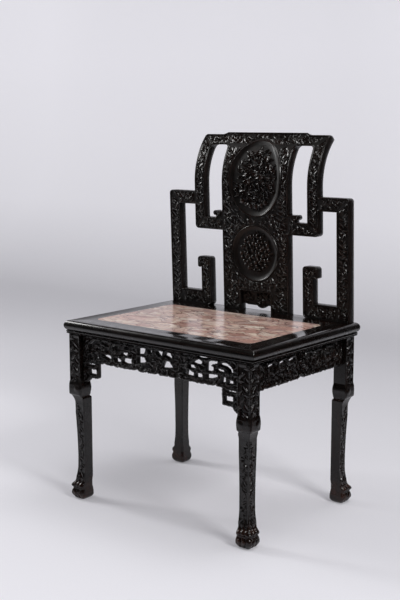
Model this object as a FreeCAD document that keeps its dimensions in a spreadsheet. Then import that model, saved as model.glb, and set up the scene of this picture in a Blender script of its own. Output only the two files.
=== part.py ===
import FreeCAD, Part
import Sketcher
import os
import re

# Rosewood side chair with a marble seat: a mitred seat frame on four two-way sawn legs,
# pierced aprons below it and a stepped fret back round a wide splat.
# Seen from the front, +X points right, +Y to the back and +Z up.
# The origin is on the floor, under the middle of the chair's overall box.

doc = FreeCAD.newDocument("rosewood_chair")
sheet = doc.addObject("Spreadsheet::Sheet", "Sizes")

sizes = [
    # Seat
    ("seat_width", 618, "seat frame, across the rounded edges"),
    ("seat_depth", 463, "seat frame, front to back"),
    ("seat_height", 480, "floor to the top of the seat"),
    ("nosing_height", 26, "rounded edge of the frame"),
    ("bead_height", 8, "small bead under the rounded edge"),
    ("bead_setback", 5, "bead, in from the rounded edge"),
    ("front_rail_width", 61.6, "front rail, edge to marble"),
    ("side_rail_width", 55.3, "side rail, edge to marble"),
    ("rear_rail_width", 92.4, "rear rail, edge to marble"),
    ("panel_thickness", 12, "marble"),
    ("panel_corner", 18, "radius of the marble's corners"),
    ("panel_ledge", 8, "ledge that carries the marble"),
    ("panel_gap", 0.3, "play round the marble"),
    ("batten_width", 36, "bearers under the marble"),
    ("batten_thickness", 14, "bearers under the marble"),
    ("batten_spacing", 210, "between the middles of the bearers"),
    ("mitre_tenon_thickness", 8, "tenon in the frame's corner"),
    ("mitre_tenon_width", 22, "tenon in the frame's corner"),
    ("mitre_tenon_length", 34, "tenon in the frame's corner"),
    ("mitre_tenon_depth", 7, "below the top of the frame"),
    # Joints
    ("joint_gap", 0.2, "clearance of a tenon in its mortise"),
    ("tenon_thickness", 8, "tenons of the back and the aprons"),
    ("tenon_length", 12, "tenons of the back and the aprons"),
    ("tenon_root", 3, "tenon, back into its own piece"),
    # Legs
    ("leg_block", 38, "square block at the top of a leg"),
    ("leg_side_overhang", 14, "seat edge to the leg's outer side"),
    ("leg_front_overhang", 7, "seat edge to the leg's face"),
    ("leg_tenon_width", 18, "tenon into the seat frame"),
    ("leg_tenon_height", 16, "tenon into the seat frame"),
    ("roll_height", 40, "roll on the inner faces, below the bracket's tail"),
    ("roll_bulge", 3, "roll, proud of the block"),
    ("roll_groove", 1, "groove under the roll"),
    ("shank_proud", 2.5, "inner face of the shank, proud of the block"),
    ("knee_drop", 34, "top of the roll to where the outer face steps in"),
    ("knee_step_height", 20, "step of the outer face, top to foot"),
    ("knee_step", 8.5, "step of the outer face, inward"),
    ("shank_drop", 26, "foot of the step to where the shank begins"),
    ("shank_inset", 11, "outer face of the shank at its top"),
    ("ankle_height", 100, "height of the thinnest place"),
    ("ankle_inset", 14.8, "outer face at the thinnest place"),
    ("flare_height", 52, "height where the foot flares out"),
    ("flare_inset", 11.5, "outer face where the foot flares out"),
    ("foot_top", 40, "height of the scroll foot"),
    ("foot_top_inset", 2.5, "outer face at the top of the foot"),
    ("foot_waist", 28.5, "height of the groove between the foot's lobes"),
    ("foot_waist_inset", 4, "depth of that groove"),
    ("foot_low", 6, "height where the foot rounds under"),
    ("foot_low_inset", 3, "outer face there"),
    ("foot_heel", 26, "height of the step at the inner corner"),
    ("foot_heel_step", 2, "step at the inner corner"),
    ("sole_inset", 9, "sole, in from the outer face"),
    # Aprons
    ("apron_setback", 12, "leg face to apron face"),
    ("apron_thickness", 12, "apron boards"),
    ("front_apron_height", 70.5, "front and rear apron, below the seat frame"),
    ("side_apron_height", 75, "side aprons, below the seat frame"),
    ("apron_tenon_height", 44, "tenon into the leg"),
    ("apron_tenon_top", 12, "tenon, below the seat frame"),
    ("tongue_thickness", 6, "tongue of an apron into the seat frame"),
    ("tongue_height", 5, "tongue of an apron into the seat frame"),
    ("tongue_end", 30, "tongue, short of the leg"),
    ("window_margin", 5, "wood left under the windows, and about as much over them"),
    ("bar_width", 8, "upright bars of the front apron"),
    ("inner_bar", 70, "middle of the inner bar, from the middle of the apron"),
    ("outer_bar", 150, "middle of the outer bar, from the middle of the apron"),
    ("notch_width", 18, "notches of the front apron's lower edge"),
    ("notch_height", 9.5, "notches of the front apron's lower edge"),
    ("bracket_width", 55, "bracket, out from the leg"),
    ("bracket_drop", 41, "bracket, below the apron"),
    ("bracket_tail", 14.5, "curl down the leg, below the bracket"),
    ("bracket_tail_width", 22, "curl down the leg"),
    ("bracket_thickness", 12, "bracket"),
    # Back
    ("back_setback", 38.8, "seat's rear edge to the face of the back"),
    ("back_thickness", 24.6, "all pieces of the back"),
    ("back_lean", 2.2, "degrees that the back leans forward"),
    ("back_height", 482, "seat to the top of the crest"),
    ("bend_drop", 140, "top of the crest to where the back begins to roll backward"),
    ("bend_radius", 180, "radius of that roll, at the face"),
    ("crest_shoulder", 5.5, "crest's ends, below its raised middle"),
    ("crest_raised", 286, "width of the raised middle at its foot"),
    ("crest_cove", 12, "cove beside the raised middle"),
    ("crest_rail_height", 33.5, "crest, lower edge to the top of its middle"),
    ("stile_width", 34.6, "stile"),
    ("splat_width", 218, "splat"),
    ("post_inset", 12, "seat edge to the outer post"),
    ("post_width", 38, "outer post"),
    ("arm_width", 36.4, "shoulder arm"),
    ("hook_width", 33.5, "hook rail"),
    ("hook_tip_height", 19, "hook's curled end, above the rail"),
    ("foot_rail_width", 40, "foot rail on the seat"),
    ("scroll_width", 33, "upright of the lower scroll"),
    ("scroll_tip", 12.5, "curled end, out from the upright"),
    ("scroll_tip_height", 31, "curled end"),
    ("corner_round", 6, "rounding of small outer corners"),
    ("fret_round", 11, "rounding of the hook's and scroll's corners"),
    ("tip_round", 9, "rounding of the curled ends and the shoulders"),
    ("window_round", 10, "rounding of the upper windows' top corners"),
    # Splat
    ("splat_foot", 58.5, "width of a foot of the splat"),
    ("splat_arch", 53, "height of the opening between the feet"),
    ("splat_apron_inset", 7, "small board, behind the splat's face"),
    ("splat_apron_thickness", 11, "small board"),
    ("splat_apron_low", 9, "small board's lobes, above the seat"),
    ("splat_apron_cusp", 6.5, "depth of the cusps between the lobes"),
    ("splat_apron_groove", 4, "groove that holds the small board"),
    ("oval_width", 166, "oval medallion"),
    ("oval_height", 198, "oval medallion"),
    ("round_width", 146, "round medallion"),
    ("medallion_depth", 6, "depth of both medallions"),
    ("overrun", 20, "how far a cut runs past the wood"),
]

for row, (alias, value, note) in enumerate(sizes, start=1):
    sheet.set(f"A{row}", note)
    sheet.set(f"B{row}", str(value))
    sheet.setAlias(f"B{row}", alias)
doc.recompute()
aliases = {alias for alias, value, note in sizes}


def bound(expression):
    """The expression as another object of the document reads it."""
    def full(word):
        return "Sizes." + word.group() if word.group() in aliases else word.group()

    return re.sub(r"[a-z]\w*", full, expression)


def number(expression):
    return float(sheet.evalExpression(expression))


# Places worked out from the sizes, as expressions
half_width = "(seat_width / 2)"
half_depth = "(seat_depth / 2)"
underside = "(seat_height - nosing_height - bead_height)"
ledge_height = "(seat_height - panel_thickness)"

# Heights in the back, as shares of the way from the seat to the top of the crest
arm_share = 0.664
hook_share = 0.449
scroll_share = 0.286
oval_share = 0.7481
round_share = 0.331
crest_top = "(seat_height + back_height)"
crest_underside = f"({crest_top} - crest_rail_height)"
bend_height = f"({crest_top} - bend_drop)"

# The roll of the back: centre and end of the arc, measured from the middle of the seat
face_at_seat = f"({half_depth} - back_setback)"
face_at_bend = f"({face_at_seat} - ({bend_height} - seat_height) * tan(back_lean))"
roll_y = f"({face_at_bend} + bend_radius * cos(back_lean))"
roll_z = f"({bend_height} + bend_radius * sin(back_lean))"
top_sine = f"(({crest_top} - {roll_z}) / bend_radius)"
top_cosine = f"sqrt(1 - {top_sine} ^ 2)"
back_reach = f"({roll_y} - (bend_radius - back_thickness) * {top_cosine})"

# The middle of the seat lies so that the origin is the middle of the overall depth
seat_middle = f"(({half_depth} - {back_reach}) / 2)"
front_edge = f"({seat_middle} - {half_depth})"
rear_edge = f"({seat_middle} + {half_depth})"
leg_x = f"({half_width} - leg_side_overhang)"
leg_y = f"({front_edge} + leg_front_overhang)"
leg_inner_x = f"({leg_x} - leg_block)"
leg_inner_y = f"({leg_y} + leg_block)"

# Heights in the legs and in the apron with its brackets
bracket_low = f"({underside} - front_apron_height)"
bracket_bottom = f"({bracket_low} - bracket_drop)"
roll_top = f"({bracket_bottom} - bracket_tail)"
roll_bottom = f"({roll_top} - roll_height)"
knee_top = f"({roll_top} - knee_drop)"
knee_foot = f"({knee_top} - knee_step_height)"
shank_top = f"({knee_foot} - shank_drop)"

planes = {
    "front": (FreeCAD.Rotation(FreeCAD.Vector(1, 0, 0), 90), FreeCAD.Vector(0, 1, 0), "y"),
    "side": (FreeCAD.Rotation(FreeCAD.Vector(1, 1, 1), 120), FreeCAD.Vector(1, 0, 0), "x"),
    "plan": (FreeCAD.Rotation(), FreeCAD.Vector(0, 0, 1), "z"),
}


def draw(sketch, steps):
    """Close an outline: a step is (a, b), or (a, b, via a, via b) where an arc arrives there."""
    points = [(number(step[0]), number(step[1])) for step in steps]
    constraints = []
    expressions = []
    ends = []

    def tie(kind, value, expression, *where):
        constraints.append(Sketcher.Constraint(kind, -1, 1, *where, value))
        expressions.append(expression)

    for index, here in enumerate(points):
        after = (index + 1) % len(points)
        there = points[after]
        start = FreeCAD.Vector(*here, 0)
        end = FreeCAD.Vector(*there, 0)
        if len(steps[after]) == 2:
            ends.append((sketch.addGeometry(Part.LineSegment(start, end), False), 1, 2))
            continue
        via_a, via_b = number(steps[after][2]), number(steps[after][3])
        via = FreeCAD.Vector(via_a, via_b, 0)
        turn = (via - start).cross(end - start).z
        if turn > 0:
            ends.append((sketch.addGeometry(Part.Arc(start, via, end), False), 1, 2))
        else:
            ends.append((sketch.addGeometry(Part.Arc(end, via, start), False), 2, 1))
        mark = sketch.addGeometry(Part.Point(via), True)
        tie("DistanceX", via_a, steps[after][2], mark, 1)
        tie("DistanceY", via_b, steps[after][3], mark, 1)
        constraints.append(Sketcher.Constraint("PointOnObject", mark, 1, ends[-1][0]))
        expressions.append(None)
    for index, (edge, first, last) in enumerate(ends):
        next_edge, next_first, next_last = ends[(index + 1) % len(ends)]
        constraints.append(Sketcher.Constraint("Coincident", edge, last, next_edge, next_first))
        expressions.append(None)
        tie("DistanceX", points[index][0], steps[index][0], edge, first)
        tie("DistanceY", points[index][1], steps[index][1], edge, first)
    sketch.addConstraint(constraints)
    for index, expression in enumerate(expressions):
        if expression is not None:
            sketch.setExpression(f"Constraints[{index}]", bound(expression))


def prism(name, plane, steps, start, length):
    """An outline in one plane, pushed along that plane's axis from start by length."""
    rotation, direction, axis = planes[plane]
    sketch = doc.addObject("Sketcher::SketchObject", name + "_sketch")
    sketch.Placement = FreeCAD.Placement(FreeCAD.Vector(), rotation)
    sketch.setExpression(".Placement.Base." + axis, bound(start))
    draw(sketch, steps)
    solid = doc.addObject("Part::Extrusion", name)
    solid.Base = sketch
    solid.DirMode = "Custom"
    solid.Dir = direction
    solid.Solid = True
    solid.setExpression("LengthFwd", bound(length))
    return solid


def block(name, low, high):
    """A box between two corners given as expressions."""
    solid = doc.addObject("Part::Box", name)
    for axis, side, near, far in zip("xyz", ("Length", "Width", "Height"), low, high):
        solid.setExpression(".Placement.Base." + axis, bound(near))
        solid.setExpression(side, bound(f"({far}) - ({near})"))
    return solid


def joined(kind, name, base, tool):
    solid = doc.addObject("Part::" + kind, name)
    solid.Base = base
    solid.Tool = tool
    solid.Refine = True
    return solid


def mirrored(source, name, axis="x"):
    """The mirror image: left and right about the origin, front and back about the seat's middle."""
    solid = doc.addObject("Part::Mirroring", name)
    solid.Source = source
    if axis == "x":
        solid.Normal = FreeCAD.Vector(1, 0, 0)
    else:
        solid.Normal = FreeCAD.Vector(0, 1, 0)
        solid.setExpression("Base.y", bound(seat_middle))
    return solid


def group(name, tools):
    solid = doc.addObject("Part::Compound", name)
    solid.Links = tools
    return solid


def between(start, end, share):
    """The expression for a place at a share of the way from start to end."""
    return f"({start} + ({end} - ({start})) * {share})"


def cavity(name, low, high):
    """The mortise for a tenon between two corners, wider by the joint gap on every side."""
    return block(name, [f"{place} - joint_gap" for place in low],
                 [f"{place} + joint_gap" for place in high])


def rounded(left, right, low, high, radius):
    """Steps of a rectangle with round corners."""
    near = f"({radius}) * (1 - cos(45))"
    return [
        (f"{left} + ({radius})", low, f"{left} + {near}", f"{low} + {near}"),
        (f"{right} - ({radius})", low),
        (right, f"{low} + ({radius})", f"{right} - {near}", f"{low} + {near}"),
        (right, f"{high} - ({radius})"),
        (f"{right} - ({radius})", high, f"{right} - {near}", f"{high} - {near}"),
        (f"{left} + ({radius})", high),
        (left, f"{high} - ({radius})", f"{left} + {near}", f"{high} - {near}"),
        (left, f"{low} + ({radius})"),
    ]


def half_corner(x, z, inward_x, inward_z, radius, upright):
    """The round corner of a mitred pair, for its upright or its level member: the mitre's end,
    a place on the arc, and the place where the arc meets the straight edge.
    """
    def on_arc(across, up):
        return f"{x} + {inward_x} * {radius} * (1 - {across})", f"{z} + {inward_z} * {radius} * (1 - {up})"

    middle = on_arc("cos(45)", "sin(45)")
    if upright:
        return middle, on_arc("cos(22.5)", "sin(22.5)"), on_arc("1", "0")
    return middle, on_arc("sin(22.5)", "cos(22.5)"), on_arc("0", "1")


pieces = {}


def join(owner, host, name, low, high, paired=False):
    """A tenon on its owner and the mortise for it in its host."""
    tenon = block(name + "_tenon", low, high)
    mortise = cavity(name + "_mortise", low, high)
    for piece, kind, tool in ((owner, "Fuse", tenon), (host, "Cut", mortise)):
        pieces[piece] = joined(kind, f"{piece}_{name}", pieces[piece], tool)
        if paired and piece in ("crest_rail", "splat"):
            other = mirrored(tool, f"{piece}_{name}_other")
            pieces[piece] = joined(kind, f"{piece}_{name}_both", pieces[piece], other)


# Seat frame: the whole moulded blank first, then the four mitred rails out of it
def edge_profile(low, high, floor, top):
    """Section of the blank: a full round nosing over a half round bead, on both edges."""
    nosing = "nosing_height / 2"
    bead = "bead_height / 2"
    return [
        (f"{low} + {nosing}", top),
        (f"{low} + {nosing}", f"{top} - nosing_height", low, f"{top} - {nosing}"),
        (f"{low} + bead_setback + {bead}", f"{top} - nosing_height"),
        (f"{low} + bead_setback + {bead}", floor, f"{low} + bead_setback", f"{floor} + {bead}"),
        (f"{high} - bead_setback - {bead}", floor),
        (f"{high} - bead_setback - {bead}", f"{top} - nosing_height", f"{high} - bead_setback",
         f"{floor} + {bead}"),
        (f"{high} - {nosing}", f"{top} - nosing_height"),
        (f"{high} - {nosing}", top, high, f"{top} - {nosing}"),
    ]


along = prism("frame_front_to_back", "front",
              edge_profile(f"-{half_width}", half_width, underside, "seat_height"),
              front_edge, "seat_depth")
across = prism("frame_side_to_side", "side",
               edge_profile(front_edge, rear_edge, underside, "seat_height"),
               f"-{half_width}", "seat_width")
frame_blank = joined("Common", "frame_blank", along, across)

panel_x = f"({half_width} - side_rail_width)"
panel_low = f"({front_edge} + front_rail_width)"
panel_high = f"({rear_edge} - rear_rail_width)"
recess = prism("panel_recess", "plan",
               rounded(f"-{panel_x}", panel_x, panel_low, panel_high, "panel_corner"),
               ledge_height, "panel_thickness + overrun")
opening = prism(
    "seat_opening", "plan",
    rounded(f"-({panel_x} - panel_ledge)", f"({panel_x} - panel_ledge)", f"({panel_low} + panel_ledge)",
            f"({panel_high} - panel_ledge)", "panel_corner - panel_ledge"),
    f"{underside} - overrun", f"overrun + {ledge_height} - {underside} + overrun")

# Marble: lies in the recess, flush with the frame
panel = doc.addObject("PartDesign::Body", "marble_body")
panel_sketch = panel.newObject("Sketcher::SketchObject", "marble_sketch")
xy_plane = [feature for feature in panel.Origin.OriginFeatures if feature.Role == "XY_Plane"][0]
panel_sketch.AttachmentSupport = [(xy_plane, "")]
panel_sketch.MapMode = "FlatFace"
panel_sketch.setExpression(".AttachmentOffset.Base.z", bound(ledge_height))
draw(panel_sketch, rounded(f"-({panel_x} - panel_gap)", f"({panel_x} - panel_gap)",
                           f"({panel_low} + panel_gap)", f"({panel_high} - panel_gap)",
                           "panel_corner - panel_gap"))
panel_pad = panel.newObject("PartDesign::Pad", "marble_pad")
panel_pad.Profile = panel_sketch
panel_pad.setExpression("Length", bound("panel_thickness"))
pieces["marble_panel"] = panel

# Bearers under the marble, tenoned into the front and rear rails
batten_x = "(batten_spacing / 2)"
batten_low = f"({panel_low} + panel_ledge)"
batten_high = f"({panel_high} - panel_ledge)"
tenon_high = f"({ledge_height} - (batten_thickness - tenon_thickness) / 2)"
tenon_low = f"({tenon_high} - tenon_thickness)"
batten_body = block(
    "batten_body", (f"{batten_x} - batten_width / 2", batten_low, f"{ledge_height} - batten_thickness"),
    (f"{batten_x} + batten_width / 2", batten_high, ledge_height))
batten_ends = [(f"{batten_x} - batten_width / 4", f"{batten_low} - tenon_length", tenon_low),
               (f"{batten_x} + batten_width / 4", f"{batten_high} + tenon_length", tenon_high)]
pieces["right_batten"] = joined("Fuse", "batten", batten_body, block("batten_tenon", *batten_ends))
pieces["left_batten"] = mirrored(pieces["right_batten"], "batten_left")
batten_mortise = cavity("batten_mortise", *batten_ends)
frame_cuts = [recess, opening, batten_mortise, mirrored(batten_mortise, "batten_mortise_left")]


# Legs: one outline, sawn from the front and again from the side
def leg_outline(place):
    """Steps of the leg's outline; place turns a depth from the outer face into a coordinate."""
    inner = "leg_block"
    shank = "leg_block + shank_proud"
    heel = "leg_block + shank_proud + foot_heel_step"
    steps = [
        ("0", underside),
        ("0", knee_top),
        ("knee_step", knee_foot, "knee_step * 0.62", between(knee_top, knee_foot, 0.5)),
        ("shank_inset", shank_top),
        ("ankle_inset", "ankle_height", between("shank_inset", "ankle_inset", 0.75),
         between(shank_top, "ankle_height", 0.5)),
        ("flare_inset", "flare_height", "ankle_inset", between("flare_height", "ankle_height", 0.6)),
        ("foot_top_inset", "foot_top", between("flare_inset", "foot_top_inset", 0.4),
         between("foot_top", "flare_height", 0.35)),
        ("foot_waist_inset", "foot_waist", "0", between("foot_top", "foot_waist", 0.5)),
        ("foot_low_inset", "foot_low", "0", between("foot_waist", "foot_low", 0.5)),
        ("sole_inset", "0", between("foot_low_inset", "sole_inset", 0.35), "foot_low * 0.3"),
        (f"{heel} - sole_inset", "0"),
        (heel, "foot_heel * 0.6", f"{heel} - sole_inset * 0.2", "foot_heel * 0.2"),
        (heel, "foot_heel"),
        (shank, "foot_heel + foot_heel_step"),
        (shank, f"{roll_bottom} - 2 * shank_proud"),
        (f"{inner} - roll_groove", roll_bottom),
        (inner, roll_top, f"{inner} + roll_bulge", f"({roll_top} + {roll_bottom}) / 2"),
        (inner, underside),
    ]
    placed = []
    for depth, height, *via in steps:
        placed.append((place(depth), height, *([place(via[0]), via[1]] if via else [])))
    return placed


leg_stock = "leg_block + 2 * overrun"
leg_front_view = prism("leg_front_view", "front", leg_outline(lambda depth: f"{leg_x} - ({depth})"),
                       f"{leg_y} - overrun", leg_stock)
leg_side_view = prism("leg_side_view", "side", leg_outline(lambda depth: f"{leg_y} + ({depth})"),
                      f"{leg_x} - leg_block - overrun", leg_stock)
leg_shape = joined("Common", "leg_shape", leg_front_view, leg_side_view)

leg_margin = "((leg_block - leg_tenon_width) / 2)"
leg_end = [
    (f"{leg_inner_x} + {leg_margin}", f"{leg_y} + {leg_margin}", f"{underside} - tenon_root"),
    (f"{leg_x} - {leg_margin}", f"{leg_inner_y} - {leg_margin}", f"{underside} + leg_tenon_height"),
]
leg_tenon = block("leg_tenon", *leg_end)
leg_mortise = cavity("leg_mortise", *leg_end)
leg_mortises = group("leg_mortises", [leg_mortise, mirrored(leg_mortise, "leg_mortise_rear", "y")])
frame_cuts += [leg_mortises, mirrored(leg_mortises, "leg_mortises_left")]

apron_y = f"({leg_y} + apron_setback)"
apron_x = f"({leg_x} - apron_setback)"
tenon_inset = "((apron_thickness - tenon_thickness) / 2)"
tenon_top = f"({underside} - apron_tenon_top)"
front_tenon = [
    (f"{leg_inner_x} - tenon_root", f"{apron_y} + {tenon_inset}", f"{tenon_top} - apron_tenon_height"),
    (f"{leg_inner_x} + tenon_length", f"{apron_y} + {tenon_inset} + tenon_thickness", tenon_top),
]
side_tenon = [
    (f"{apron_x} - {tenon_inset} - tenon_thickness", f"{leg_inner_y} - tenon_length",
     f"{tenon_top} - apron_tenon_height"),
    (f"{apron_x} - {tenon_inset}", f"{leg_inner_y} + tenon_root", tenon_top),
]


leg_cuts = group("leg_cuts", [cavity("front_apron_mortise", *front_tenon),
                              cavity("side_apron_mortise", *side_tenon)])
leg = joined("Cut", "leg", joined("Fuse", "leg_with_tenon", leg_shape, leg_tenon), leg_cuts)

bracket_tenon = [
    (f"{leg_inner_x} - tenon_root", f"{apron_y} + {tenon_inset}", f"{bracket_low} - bracket_drop * 0.75"),
    (f"{leg_inner_x} + tenon_length / 2", f"{apron_y} + {tenon_inset} + tenon_thickness",
     f"{bracket_low} - bracket_drop * 0.25"),
]
bracket_mortise = cavity("bracket_mortise", *bracket_tenon)
pieces["front_right_leg"] = joined("Cut", "leg_front_right", leg, bracket_mortise)
pieces["front_left_leg"] = mirrored(pieces["front_right_leg"], "leg_front_left")
pieces["rear_right_leg"] = mirrored(leg, "leg_rear_right", "y")
pieces["rear_left_leg"] = mirrored(pieces["rear_right_leg"], "leg_rear_left")


# Aprons
def apron_tongue(name, low, high, gap):
    """Tongue along the top edge of an apron, or with a gap the groove for it in the seat frame."""
    return block(name, (f"{low[0]} - {gap}", f"{low[1]} - {gap}", f"{underside} - tenon_root"),
                 (f"{high[0]} + {gap}", f"{high[1]} + {gap}", f"{underside} + tongue_height + {gap}"))


groove_y = f"({apron_y} + (apron_thickness - tongue_thickness) / 2)"
groove_x = f"({apron_x} - (apron_thickness + tongue_thickness) / 2)"
front_tongue = [(f"-({leg_inner_x} - tongue_end)", groove_y),
                (f"({leg_inner_x} - tongue_end)", f"{groove_y} + tongue_thickness")]
side_tongue = [(groove_x, f"({leg_inner_y} + tongue_end)"),
               (f"{groove_x} + tongue_thickness", f"(2 * {seat_middle} - {leg_inner_y} - tongue_end)")]
front_groove = apron_tongue("front_groove", *front_tongue, "joint_gap")
side_groove = apron_tongue("side_groove", *side_tongue, "joint_gap")
frame_cuts += [front_groove, mirrored(front_groove, "rear_groove", "y")]
frame_cuts += [side_groove, mirrored(side_groove, "left_groove")]

front_board = block("front_board", (f"-{leg_inner_x}", apron_y, bracket_low),
                    (leg_inner_x, f"{apron_y} + apron_thickness", underside))
front_tenon_right = block("front_tenon_right", *front_tenon)
plain_front = group("front_apron_parts", [front_board, front_tenon_right,
                                          mirrored(front_tenon_right, "front_tenon_left"),
                                          apron_tongue("front_tongue", *front_tongue, "0")])

side_y = f"(2 * {seat_middle} - {leg_inner_y})"
side_board = block("side_board",
                   (f"{apron_x} - apron_thickness", leg_inner_y, f"{underside} - side_apron_height"),
                   (apron_x, side_y, underside))
side_tenon_front = block("side_tenon_front", *side_tenon)
plain_side = group("side_apron_parts", [side_board, side_tenon_front,
                                        mirrored(side_tenon_front, "side_tenon_rear", "y"),
                                        apron_tongue("side_tongue", *side_tongue, "0")])


def fused(name, parts):
    solid = doc.addObject("Part::MultiFuse", name)
    solid.Shapes = parts.Links
    solid.Refine = True
    return solid


front_stock = fused("front_stock", plain_front)
side_stock = fused("side_stock", plain_side)

# Windows of the front apron. A place is (how far from one field's edge to the other, how far up
# between the lower and the upper margin), so the shares follow the apron's sizes. The middle
# field's two halves differ, as carved foliage does, and the other fields are mirrored.
centre_field = ("0", "(inner_bar - bar_width / 2)")
fret_field = ("(inner_bar + bar_width / 2)", "(outer_bar - bar_width / 2)")
end_field = ("(outer_bar + bar_width / 2)", leg_inner_x)
window_low = f"({bracket_low} + window_margin)"
window_high = f"({underside} - window_margin)"
centre_right_shares = [
    [(-0.05, 0.88), (0.08, 0.72), (0.22, 0.74), (0.25, 0.92), (-0.04, 0.93)],
    [(0.36, 0.78), (0.50, 0.74), (0.62, 0.66), (0.73, 0.70), (0.68, 0.90), (0.40, 0.92)],
    [(0.24, 0.26), (0.44, 0.28), (0.75, 0.33), (0.76, 0.42), (0.65, 0.46), (0.63, 0.56), (0.38, 0.56),
     (0.30, 0.42)],
]
centre_left_shares = [
    [(0.61, 0.92), (0.62, 0.80), (0.70, 0.68), (0.97, 0.64), (0.97, 0.92)],
    [(0.57, 0.42), (0.66, 0.32), (0.96, 0.27), (0.97, 0.52), (0.80, 0.57), (0.64, 0.52)],
    [(0.26, 0.93), (0.28, 0.80), (0.42, 0.79), (0.43, 0.93)],
]
fret_shares = [
    [(0.75, 0.96), (0.90, 0.94), (1.14, 0.98), (1.15, 1.04), (0.78, 1.03)],
    [(0.03, 1.03), (0.03, 0.96), (0.20, 0.94), (0.40, 0.95), (0.36, 1.03)],
    [(0.53, 0.70), (0.70, 0.66), (0.92, 0.67), (0.93, 0.82), (0.80, 0.87), (0.62, 0.80)],
    [(0.30, 0.78), (0.46, 0.78), (0.47, 0.87), (0.33, 0.87)],
    [(0.36, 0.60), (0.38, 0.47), (0.56, 0.46), (0.66, 0.50), (0.62, 0.60)],
    [(0.17, 0.40), (0.17, 0.16), (0.44, 0.14), (0.60, 0.19), (0.58, 0.31), (0.40, 0.39)],
    [(0.68, 0.13), (0.93, 0.14), (0.95, 0.31), (0.78, 0.33), (0.68, 0.26)],
]
end_shares = [
    [(0.01, 0.47), (0.14, 0.46), (0.21, 0.54), (0.21, 0.66), (0.15, 0.70), (0.18, 0.76), (0.34, 0.84),
     (0.33, 0.92), (0.12, 0.90), (0.02, 0.80)],
    [(0.02, 0.17), (0.12, 0.19), (0.33, 0.30), (0.34, 0.41), (0.22, 0.37), (0.02, 0.35)],
    [(0.28, 0.60), (0.33, 0.54), (0.48, 0.50), (0.55, 0.54), (0.50, 0.61), (0.36, 0.64)],
    [(0.45, 0.12), (0.57, 0.12), (0.58, 0.35), (0.48, 0.35)],
    [(0.63, 0.11), (0.78, 0.12), (0.79, 0.25), (0.66, 0.27)],
    [(0.40, 0.80), (0.56, 0.76), (0.66, 0.66), (0.69, 0.54), (0.77, 0.54), (0.78, 0.70), (0.68, 0.84),
     (0.58, 0.91), (0.41, 0.90)],
]


def window(name, field, shares):
    left, right = field
    steps = [(f"{left} + {a} * ({right} - {left})", f"{window_low} + {b} * ({window_high} - {window_low})")
             for a, b in shares]
    return prism(name, "front", steps, f"{apron_y} - overrun", "apron_thickness + 2 * overrun")


paired_windows = []
for index, shares in enumerate(fret_shares):
    paired_windows.append(window(f"fret_window_{index}", fret_field, shares))
for index, shares in enumerate(end_shares):
    paired_windows.append(window(f"end_window_{index}", end_field, shares))
centre_windows = []
for index, shares in enumerate(centre_right_shares):
    centre_windows.append(window(f"right_centre_window_{index}", centre_field, shares))
for index, shares in enumerate(centre_left_shares):
    centre_windows.append(mirrored(window(f"left_centre_cut_{index}", centre_field, shares),
                                   f"left_centre_window_{index}"))


def notch(name, side, low, middle, width, height):
    """A notch with hollow flanks in an apron's lower edge."""
    left, right = f"{middle} - ({width}) / 2", f"{middle} + ({width}) / 2"
    flank = f"{low} + ({height}) * 0.45"
    steps = [
        (left, f"{low} - overrun"),
        (right, f"{low} - overrun"),
        (right, low),
        (middle, f"{low} + ({height})", f"{middle} + ({width}) / 8", flank),
        (left, low, f"{middle} - ({width}) / 8", flank),
    ]
    start = f"{apron_y} - overrun" if side == "front" else f"{apron_x} - apron_thickness - overrun"
    return prism(name, side, steps, start, "apron_thickness + 2 * overrun")


front_notches = [
    ("small_notch", "(inner_bar / 2)", "notch_width * 0.7", "notch_height * 0.45"),
    ("inner_notch", "inner_bar", "notch_width", "notch_height"),
    ("outer_notch", "outer_bar", "notch_width * 0.6", "notch_height / 2"),
    ("end_notch", "(outer_bar + bar_width * 4)", "notch_width", "notch_height * 0.7"),
]
for name, middle, width, height in front_notches:
    paired_windows.append(notch(name, "front", bracket_low, middle, width, height))
right_windows = group("right_windows", paired_windows)
middle_notch = notch("middle_notch", "front", bracket_low, "0", "notch_width", "notch_height")
all_windows = group("all_windows", [right_windows, mirrored(right_windows, "left_windows"), middle_notch]
                    + centre_windows)
pieces["front_apron"] = joined("Cut", "apron_front", front_stock, all_windows)
pieces["rear_apron"] = mirrored(front_stock, "apron_rear", "y")

# Side aprons: the same notches along the lower edge, and slanted windows near the top
side_low = f"({underside} - side_apron_height)"
side_window_shares = [0.20, 0.42, 0.66]
side_notch_shares = [0.26, 0.54, 0.80]
side_start = f"{apron_x} - apron_thickness - overrun"
side_windows = []
for index, share in enumerate(side_window_shares):
    middle = between(seat_middle, side_y, share)
    steps = [
        (f"{middle} - 3 * window_margin", f"{underside} - 0.31 * side_apron_height"),
        (f"{middle} + 2 * window_margin", f"{underside} - 0.37 * side_apron_height"),
        (f"{middle} + 3 * window_margin", f"{underside} - 0.26 * side_apron_height"),
        (f"{middle} - 2 * window_margin", f"{underside} - 0.22 * side_apron_height"),
    ]
    side_windows.append(prism(f"side_window_{index}", "side", steps, side_start,
                              "apron_thickness + 2 * overrun"))
for index, share in enumerate(side_notch_shares):
    side_windows.append(notch(f"side_ripple_{index}", "side", side_low, between(seat_middle, side_y, share),
                              "notch_width", "notch_height * 0.4"))
side_notch = notch("side_notch", "side", side_low, seat_middle, "2 * notch_width", "notch_height")
rear_windows = group("rear_side_windows", side_windows)
front_windows = mirrored(rear_windows, "front_side_windows", "y")
side_cuts = group("side_cuts", [rear_windows, front_windows, side_notch])
pieces["right_apron"] = joined("Cut", "apron_right", side_stock, side_cuts)
pieces["left_apron"] = mirrored(pieces["right_apron"], "apron_left")

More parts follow.
